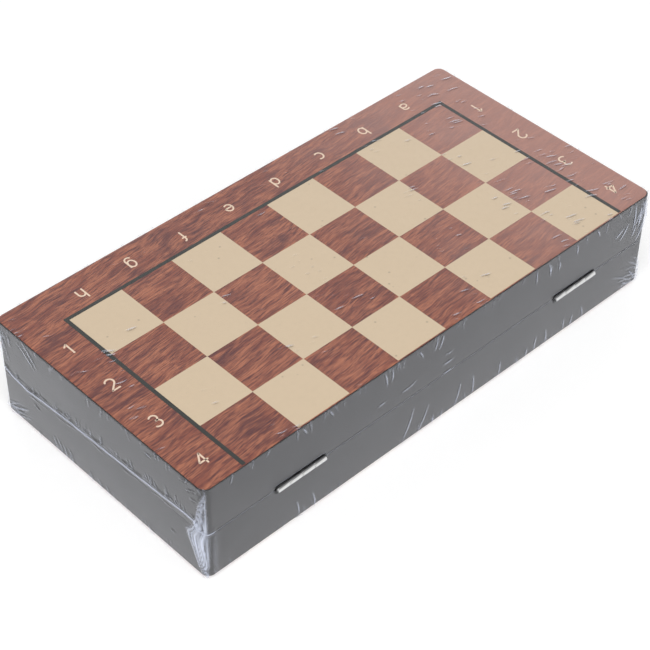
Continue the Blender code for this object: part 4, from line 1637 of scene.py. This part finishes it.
def rook_shape() -> Surface:
    """A rook: a tower whose rim has four gaps round a sunk top.

    Between the gaps the rim keeps its height; in a gap it drops, by a steep step of the angle.

    Returns:
        Points and quads.
    """
    p = Rank.ROOK.profile.line((1.0, 0.13)).cove(0.84, 0.2, (1.0, 0.2), 5).line((0.84, 0.225))
    p.cove(0.46, 0.68, (0.5, 0.34), 14).bead(0.62, 0.69, 0.73, 7).cove(0.68, 0.79, (0.5, 0.77), 5)
    p.line((0.68, 0.88)).line((0.68, 0.885), (0.68, 0.995), (0.66, 1.0), (0.46, 1.0), (0.44, 0.995), steps=2)
    p.line((0.43, 0.89), steps=2).line((0.0, 0.885), steps=4)
    rings = lathe(p.outline(), 96)
    height, base = Rank.ROOK.height, Rank.ROOK.base
    floor = 0.885 * height
    angle = circle(96)
    gap = np.clip((0.17 - np.abs((angle + np.pi / 4) % (np.pi / 2) - np.pi / 4)) / 0.035, 0, 1)
    above = rings[..., 2] > floor + 1e-6
    wide = np.hypot(rings[..., 0], rings[..., 1]) > 0.4 * base
    dropped = rings[..., 2] + (floor - rings[..., 2]) * gap
    rings[..., 2] = np.where(above & wide, dropped, rings[..., 2])
    return solid(rings)


def bishop_shape() -> Surface:
    """A bishop: collared stem and a mitre with a slanting cut, pressed in where a plane crosses it.

    Returns:
        Points and quads.
    """
    p = Rank.BISHOP.profile.line((1.0, 0.085)).cove(0.86, 0.13, (1.0, 0.13), 5).line((0.86, 0.15))
    p.cove(0.34, 0.53, (0.42, 0.22), 18).bead(0.6, 0.545, 0.585, 8).bead(0.48, 0.595, 0.625, 7)
    p.line((0.34, 0.645)).cove(0.5, 0.78, (0.48, 0.68), 18).cove(0.12, 0.945, (0.47, 0.88), 24)
    p.line((0.1, 0.95)).dome(0.16, 0.945, 1.0, 12)
    rings = lathe(p.outline(), 64)
    height, base = Rank.BISHOP.height, Rank.BISHOP.base
    x, z = rings[..., 0], rings[..., 2]
    off = (z - 0.835 * height) * 0.82 - (x - 0.1 * base) * 0.57
    cut = np.exp(-((off / 0.00042) ** 4)) * np.clip((x + 0.06 * base) / (0.1 * base), 0, 1)
    cut *= (z > 0.7 * height) & (z < 0.94 * height)
    rings[..., :2] *= 1 - 0.42 * cut[..., None]
    return solid(rings)


def queen_shape() -> Surface:
    """A queen: collared stem, a flared coronet with eight points and a small ball.

    Returns:
        Points and quads.
    """
    p = Rank.QUEEN.profile.line((1.0, 0.075)).cove(0.86, 0.12, (1.0, 0.12), 5).line((0.86, 0.14))
    p.cove(0.36, 0.57, (0.42, 0.2), 20).bead(0.6, 0.58, 0.61, 8).bead(0.66, 0.615, 0.655, 8)
    p.bead(0.5, 0.66, 0.68, 6)
    p.line((0.38, 0.7)).cove(0.64, 0.885, (0.42, 0.8), 12).line((0.645, 0.9), (0.6, 0.9), steps=2)
    p.cove(0.2, 0.915, (0.4, 0.86), 8).line((0.13, 0.925)).dome(0.2, 0.92, 1.0, 14)
    rings = lathe(p.outline(), 80)
    height, base = Rank.QUEEN.height, Rank.QUEEN.base
    angle = circle(80)
    reach = np.hypot(rings[..., 0], rings[..., 1])
    crown = (rings[..., 2] > 0.86 * height) & (reach > 0.45 * base)
    dip = 0.5 - 0.5 * np.cos(8 * angle)
    rings[..., 2] -= np.where(crown, 0.028 * height * dip, 0.0)
    return solid(rings)


def cross_arm(low: float, high: float, flat: float, waist: float, end: float, upright: bool) -> Surface:
    """One bar of the king's cross: a square bar whose width grows from its middle to its ends.

    Args:
        low: where the bar starts along itself.
        high: where it ends.
        flat: its half thickness.
        waist: its half width at the middle.
        end: its half width at the ends.
        upright: whether it stands along Z or lies along X.
    Returns:
        Points and quads, standing at the axis.
    """
    t = np.linspace(0, 1, 9)
    width = waist + (end - waist) * np.abs(2 * t - 1) ** 1.6
    at = low + (high - low) * t
    ring = np.array([(1, 1), (-1, 1), (-1, -1), (1, -1)], float)
    side, thick = width[:, None] * ring[:, 0], flat * np.broadcast_to(ring[:, 1], (9, 4))
    run_along = np.broadcast_to(at[:, None], (9, 4))
    rings = np.stack([side, thick, run_along] if upright else [run_along, thick, -side], -1)
    return closed_tube(rings)


def king_shape() -> Surface:
    """A king: collared stem, a flared bowl with a low dome, and a cross.

    Returns:
        Points and quads.
    """
    p = Rank.KING.profile.line((1.0, 0.068)).cove(0.86, 0.105, (1.0, 0.105), 5).line((0.86, 0.125))
    p.cove(0.36, 0.53, (0.42, 0.18), 20).bead(0.58, 0.54, 0.568, 8).bead(0.64, 0.573, 0.61, 8)
    p.bead(0.5, 0.615, 0.635, 6)
    p.line((0.38, 0.655)).cove(0.62, 0.825, (0.4, 0.76), 12).bead(0.63, 0.828, 0.845, 6).line((0.54, 0.848))
    p.cove(0.14, 0.885, (0.46, 0.88), 8).line((0.12, 0.89)).dome(0.15, 0.888, 0.912, 8)
    height = Rank.KING.height
    upright = cross_arm(0.9 * height, height, 0.0008, 0.0006, 0.0011, True)
    points, quads = cross_arm(-0.0029, 0.0029, 0.00079, 0.0006, 0.0011, False)
    arms = np.array([0.0, 0.0, 0.957 * height])
    return joined([solid(lathe(p.outline())), upright, (points + arms, quads)])


def knight_shape() -> Surface:
    """A knight: a turned foot and a horse's head and neck with ears, mane, eyes, nostrils and mouth.

    The head is a tube along a bent middle line from the foot over the poll to the muzzle. Its section
    is a rounded oval, deep along the horse's profile and narrow across it.

    Returns:
        Points and quads.
    """
    p = Rank.KNIGHT.profile.line((1.0, 0.115)).cove(0.86, 0.19, (1.0, 0.19), 5).line((0.86, 0.21))
    p.cove(0.74, 0.27, (0.8, 0.26), 5).bead(0.78, 0.275, 0.32, 7).line((0.6, 0.335))
    p.line((0.0, 0.34), steps=4)
    height = Rank.KNIGHT.height
    stations = np.array(
        [  # across, up, half depth, half thickness, as shares of the height
            (-0.005, 0.27, 0.150, 0.118),
            (-0.012, 0.36, 0.152, 0.112),
            (-0.022, 0.46, 0.146, 0.104),
            (-0.028, 0.56, 0.138, 0.098),
            (-0.020, 0.66, 0.132, 0.094),
            (0.000, 0.745, 0.122, 0.092),
            (0.034, 0.80, 0.108, 0.092),
            (0.078, 0.81, 0.098, 0.090),
            (0.120, 0.775, 0.088, 0.082),
            (0.152, 0.725, 0.074, 0.070),
            (0.178, 0.672, 0.062, 0.060),
            (0.198, 0.622, 0.056, 0.054),
            (0.210, 0.585, 0.040, 0.040),
        ]
    )
    t = np.linspace(0, len(stations) - 1, 90)
    smooth = np.stack([smooth_through(stations[:, i], t) for i in range(4)], -1) * height
    centre, depth, thick = smooth[:, :2], smooth[:, 2], smooth[:, 3]
    ahead = np.gradient(centre, axis=0)
    ahead /= np.linalg.norm(ahead, axis=1, keepdims=True)
    back = np.stack([-ahead[:, 1], ahead[:, 0]], -1)
    angle = circle(72)
    c, s = np.cos(angle), np.sin(angle)
    oval_c = np.sign(c) * np.abs(c) ** 0.82
    oval_s = np.sign(s) * np.abs(s) ** 0.9
    mane = np.clip(c, 0, 1) ** 8 * (t[:, None] < 7.2) * (0.55 + 0.45 * np.sin(t[:, None] * 7.5))
    reach = depth[:, None] * oval_c + 0.028 * height * mane
    narrow = 1 - 0.35 * np.clip(c, 0, 1) ** 2 - 0.22 * np.clip(-c, 0, 1) ** 3
    side = thick[:, None] * oval_s * narrow
    u = t[:, None]
    relief = -0.016 * bell(c, -0.36, 0.07) * np.clip((u - 10.0) / 0.5, 0, 1)  # the mouth
    for rise, at, long, off, wide in (
        (0.016, 7.3, 0.9, -0.45, 0.35),  # cheek
        (0.020, 8.05, 0.22, 0.38, 0.16),  # eye
        (-0.012, 8.1, 0.5, 0.36, 0.34),  # eye socket
        (-0.018, 11.1, 0.26, 0.42, 0.18),  # nostril
        (-0.01, 6.2, 0.5, -0.7, 0.3),  # throat
    ):
        relief = relief + rise * bell(u, at, long) * bell(c, off, wide)
    side = side + np.sign(s) * np.abs(s) ** 0.5 * relief * height
    x = centre[:, :1] + back[:, :1] * reach
    z = centre[:, 1:] + back[:, 1:] * reach
    rings = np.stack([x, side, z], -1)
    head = closed_tube(rings)
    ears = [ear(height, way) for way in (-1.0, 1.0)]
    return joined([solid(lathe(p.outline())), head, *ears])


def smooth_through(values: Array, t: Array) -> Array:
    """A curve through evenly spaced values: a cubic on each span, with the neighbours' slopes.

    Args:
        values: the values at 0, 1, 2 and so on.
        t: where the curve is wanted.
    Returns:
        The curve at t.
    """
    slopes = np.gradient(values)
    left = np.clip(t.astype(int), 0, len(values) - 2)
    s = t - left
    a, b, ma, mb = values[left], values[left + 1], slopes[left], slopes[left + 1]
    h00, h10 = 2 * s**3 - 3 * s**2 + 1, s**3 - 2 * s**2 + s
    h01, h11 = -2 * s**3 + 3 * s**2, s**3 - s**2
    return h00 * a + h10 * ma + h01 * b + h11 * mb


def ear(height: float, way: float) -> Surface:
    """One ear: a leaf-shaped cone, its rings shrinking to the tip with a hollow at the front.

    Args:
        height: the knight's height.
        way: 1 or -1 for the side it is on.
    Returns:
        Points and quads.
    """
    t = np.linspace(0, 1, 12)
    size = 0.034 * height * np.sin(np.pi * (0.28 + 0.72 * t)) ** 0.8 + 1e-5
    angle = circle(20)
    hollow = 1 - 0.45 * np.exp(-(((angle - np.pi * 0.08 + np.pi) % (2 * np.pi) - np.pi) / 0.5) ** 2)
    centre = np.stack([-0.005 + 0.012 * t, way * (0.045 + 0.012 * t), 0.86 + 0.14 * t], -1) * height
    x = centre[:, :1] + size[:, None] * np.cos(angle) * hollow
    y = centre[:, 1:2] + 0.62 * size[:, None] * np.sin(angle)
    z = np.broadcast_to(centre[:, 2:], x.shape)
    return closed_tube(np.stack([x, y, z], -1))


SHAPES: dict[Rank, Callable[[], Surface]] = {
    Rank.KING: king_shape,
    Rank.QUEEN: queen_shape,
    Rank.BISHOP: bishop_shape,
    Rank.KNIGHT: knight_shape,
    Rank.ROOK: rook_shape,
    Rank.PAWN: pawn_shape,
}


@dataclass
class Chessmen:
    """All the chessmen, lying on their sides on the lower lining where their solids lie."""

    most_tip: float = 0.24  # steepest angle that is tried, in radians
    tries: int = 49

    def laid(self, points: Array, node: str) -> Array:
        """Standing points laid down as the solid lies, tipped about X by what the solid's box tells.

        The solid's length across the box and its height over the floor fix the tip; the points are then
        moved so that their box starts where the solid's does.

        Args:
            points: the standing points.
            node: the solid.
        Returns:
            The points in place.
        """
        low, high = (np.array(corner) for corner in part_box(node))
        best = None
        for tip in np.linspace(0, self.most_tip, self.tries):
            turned = self.tipped(points, tip)
            rise = np.ptp(turned[:, 2])
            miss = abs(rise - (high[2] - low[2]))
            if best is None or miss < best[0] - 1e-7:
                best = (miss, turned)
        turned = best[1]
        lowest = turned.min(0)
        return turned + np.array([(low[0] + high[0]) / 2, low[1] - lowest[1], low[2] - lowest[2]])

    @staticmethod
    def tipped(points: Array, tip: float) -> Array:
        """Points turned about X so that the axis lies along +Y with its head lowered by tip.

        Args:
            points: the standing points.
            tip: the angle in radians.
        Returns:
            The turned points.
        """
        angle = -(math.pi / 2 + tip)
        c, s = math.cos(angle), math.sin(angle)
        return points @ np.array([[1, 0, 0], [0, c, -s], [0, s, c]]).T

    def build(self, finishes: Finishes) -> None:
        """Makes every chessman whose solid is in the frame.

        Args:
            finishes: the materials by finish.
        """
        for rank, shape in SHAPES.items():
            points, quads = shape()
            for node in sorted(frame["nodes"]):
                colour, _, rest = node.partition("_")
                if rest.split("_")[0] != rank.word or colour not in ("light", "dark"):
                    continue
                finish = Finish.LIGHT if colour == "light" else Finish.DARK
                surface = (self.laid(points, node), quads)
                piece = make_object(f"{node}_turned", surface, finishes[finish], 35.0)
                finish_piece(piece, f"{node}_body", (node,))


# ---------------------------------------------------------------- carried-over solids
@dataclass
class Woodwork:
    """Frames and hinges: copies of the solids with eased edges."""

    ease: dict[str, float] = field(
        default_factory=lambda: {"frame": 0.0003, "leaf": 0.00028, "screw": 0.00006}
    )
    merge: float = 2e-6  # how near points have to lie to be one
    flat: float = 1.0  # degrees between triangles of one flat face
    steep: float = 40.0  # degrees past which an edge is eased
    sharp: float = 32.0  # degrees past which an edge stays sharp

    def eased(self, node: str, name: str, radius: float, material: bpy.types.Material) -> bpy.types.Object:
        """A copy of a solid with its points merged, flat triangles joined and sharp edges rounded.

        Args:
            node: the solid to copy.
            name: the piece's name.
            radius: how much each sharp edge is eased, in metres.
            material: its finish.
        Returns:
            The piece.
        """
        work = bmesh.new()
        source = frame["nodes"][node]
        work.from_mesh(source.data)
        work.transform(source.matrix_world)
        bmesh.ops.remove_doubles(work, verts=work.verts, dist=self.merge)
        flat, steep = math.radians(self.flat), math.radians(self.steep)
        bmesh.ops.dissolve_limit(work, angle_limit=flat, verts=work.verts, edges=work.edges)
        sharp = [e for e in work.edges if len(e.link_faces) == 2 and e.calc_face_angle(0.0) > steep]
        settings = {"segments": 2, "profile": 0.6, "affect": "EDGES", "clamp_overlap": True}
        bmesh.ops.bevel(work, geom=sharp, offset=radius, **settings)
        bmesh.ops.triangulate(work, faces=[f for f in work.faces if len(f.verts) > 4])
        mesh = bpy.data.meshes.new(name)
        work.to_mesh(mesh)
        work.free()
        mesh.shade_smooth()
        mesh.set_sharp_from_angle(angle=math.radians(self.sharp))
        mesh.materials.append(material)
        return link_object(name, mesh)

    def build(self, finishes: Finishes) -> None:
        """Gives every carried-over solid its finish, and eases the frames, hinge leaves and screws.

        Args:
            finishes: the materials by finish.
        """
        for part in frame["record"]["subparts"]:
            node = part["node"]
            finish = Finish(part["material_slot"])
            for place in frame["nodes"][node].material_slots:
                place.link = "OBJECT"
                place.material = finishes[finish]
            for word, radius in self.ease.items():
                if word in node:
                    tray = Tray(node.split("_")[0])
                    piece = self.eased(node, f"{node}_eased", radius, finishes[finish])
                    finish_piece(piece, tray.body, (node,))


# ---------------------------------------------------------------- studio
@dataclass(frozen=True)
class Studio:
    """The floor, light and camera."""

    lens: float = 103.9
    camera_place: tuple[float, float, float] = (-0.38847, -0.39682, 0.52647)
    azimuth: float = -43.99
    elevation: float = 43.02
    roll: float = 0.77
    floor_glow: float = 0.40
    room_low: float = 1.0
    room_high: float = 0.25
    key_power: float = 16.5
    key_place: tuple[float, float, float] = (-0.5, -0.55, 1.6)
    key_size: float = 1.2
    aim: tuple[float, float, float] = (0.0, 0.0, 0.02)
    floor_reach: float = 3.0
    grey: float = 0.72

    def camera(self) -> None:
        """A camera above the near corner, looking down along the case."""
        data = bpy.data.cameras.new("camera")
        data.lens, data.sensor_width = self.lens, 36.0
        data.clip_start, data.clip_end = 0.05, 20.0
        camera = link_object("camera", data)
        bpy.context.scene.camera = camera
        a, e = math.radians(self.azimuth), math.radians(self.elevation)
        back = Vector((math.sin(a) * math.cos(e), -math.cos(a) * math.cos(e), math.sin(e)))
        turn = (-back).to_track_quat("-Z", "Y").to_matrix()
        spin = Matrix.Rotation(math.radians(self.roll), 3, back)
        camera.matrix_world = Matrix.Translation(self.camera_place) @ (spin @ turn).to_4x4()

    def floor(self) -> None:
        """A plain white floor at the height the case lies on, a little lit of itself to keep shadows pale."""
        points = self.floor_reach * np.array([(-1, -1, 0), (1, -1, 0), (1, 1, 0), (-1, 1, 0)])
        material, bench, shader = new_material("floor_white")
        plug(bench, shader, Base_Color=(self.grey,) * 3, Roughness=0.9, Specular_IOR_Level=0.1)
        plug(bench, shader, Emission_Color=(1.0, 1.0, 1.0), Emission_Strength=self.floor_glow)
        ground = make_object("floor", (points, np.array([[0, 1, 2, 3]])), material, closed=False)

    def light(self) -> None:
        """A room that is white low down and grey overhead, and one large soft lamp above the near side.

        The room's brightness is a smooth step of a direction's height.
        """
        world = bpy.data.worlds.new("room")
        bpy.context.scene.world = world
        world.use_nodes = True
        bench = NodeBench(world.node_tree)
        height = bench.add("SeparateXYZ", Vector=bench.where()).outputs[2]
        strength = bench.band(height, 0.45, 0.8, self.room_low, self.room_high)
        background = world.node_tree.nodes["Background"]
        plug(bench, background, Color=(1.0, 1.0, 1.0), Strength=strength)
        data = bpy.data.lights.new("key", "AREA")
        data.size, data.energy = self.key_size, self.key_power
        lamp = link_object("key", data)
        lamp.location = self.key_place
        sight = Vector(self.aim) - Vector(self.key_place)
        lamp.rotation_euler = sight.to_track_quat("-Z", "Y").to_euler()

    def build(self) -> None:
        """Everything that isn't the object."""
        bpy.context.scene.view_settings.view_transform = "Standard"
        self.camera()
        self.floor()
        self.light()


def main() -> None:
    """Builds the set piece by piece."""
    logging.basicConfig(level=logging.INFO, format="%(name)s: %(message)s")
    Studio().build()
    finishes = build_finishes()
    Woodwork().build(finishes)
    PrintedFace(Tray.UPPER, "hgfedcba", "1234").build(finishes)
    PrintedFace(Tray.LOWER, "abcdefgh", "8765").build(finishes)
    for tray, seed in ((Tray.LOWER, 7), (Tray.UPPER, 3)):
        Lining(tray).build(finishes)
        FilmHalf(tray, seed).build(finishes)
    Chessmen().build(finishes)
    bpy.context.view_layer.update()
    LOG.info("sizes written")


if __name__ == "__main__":
    main()
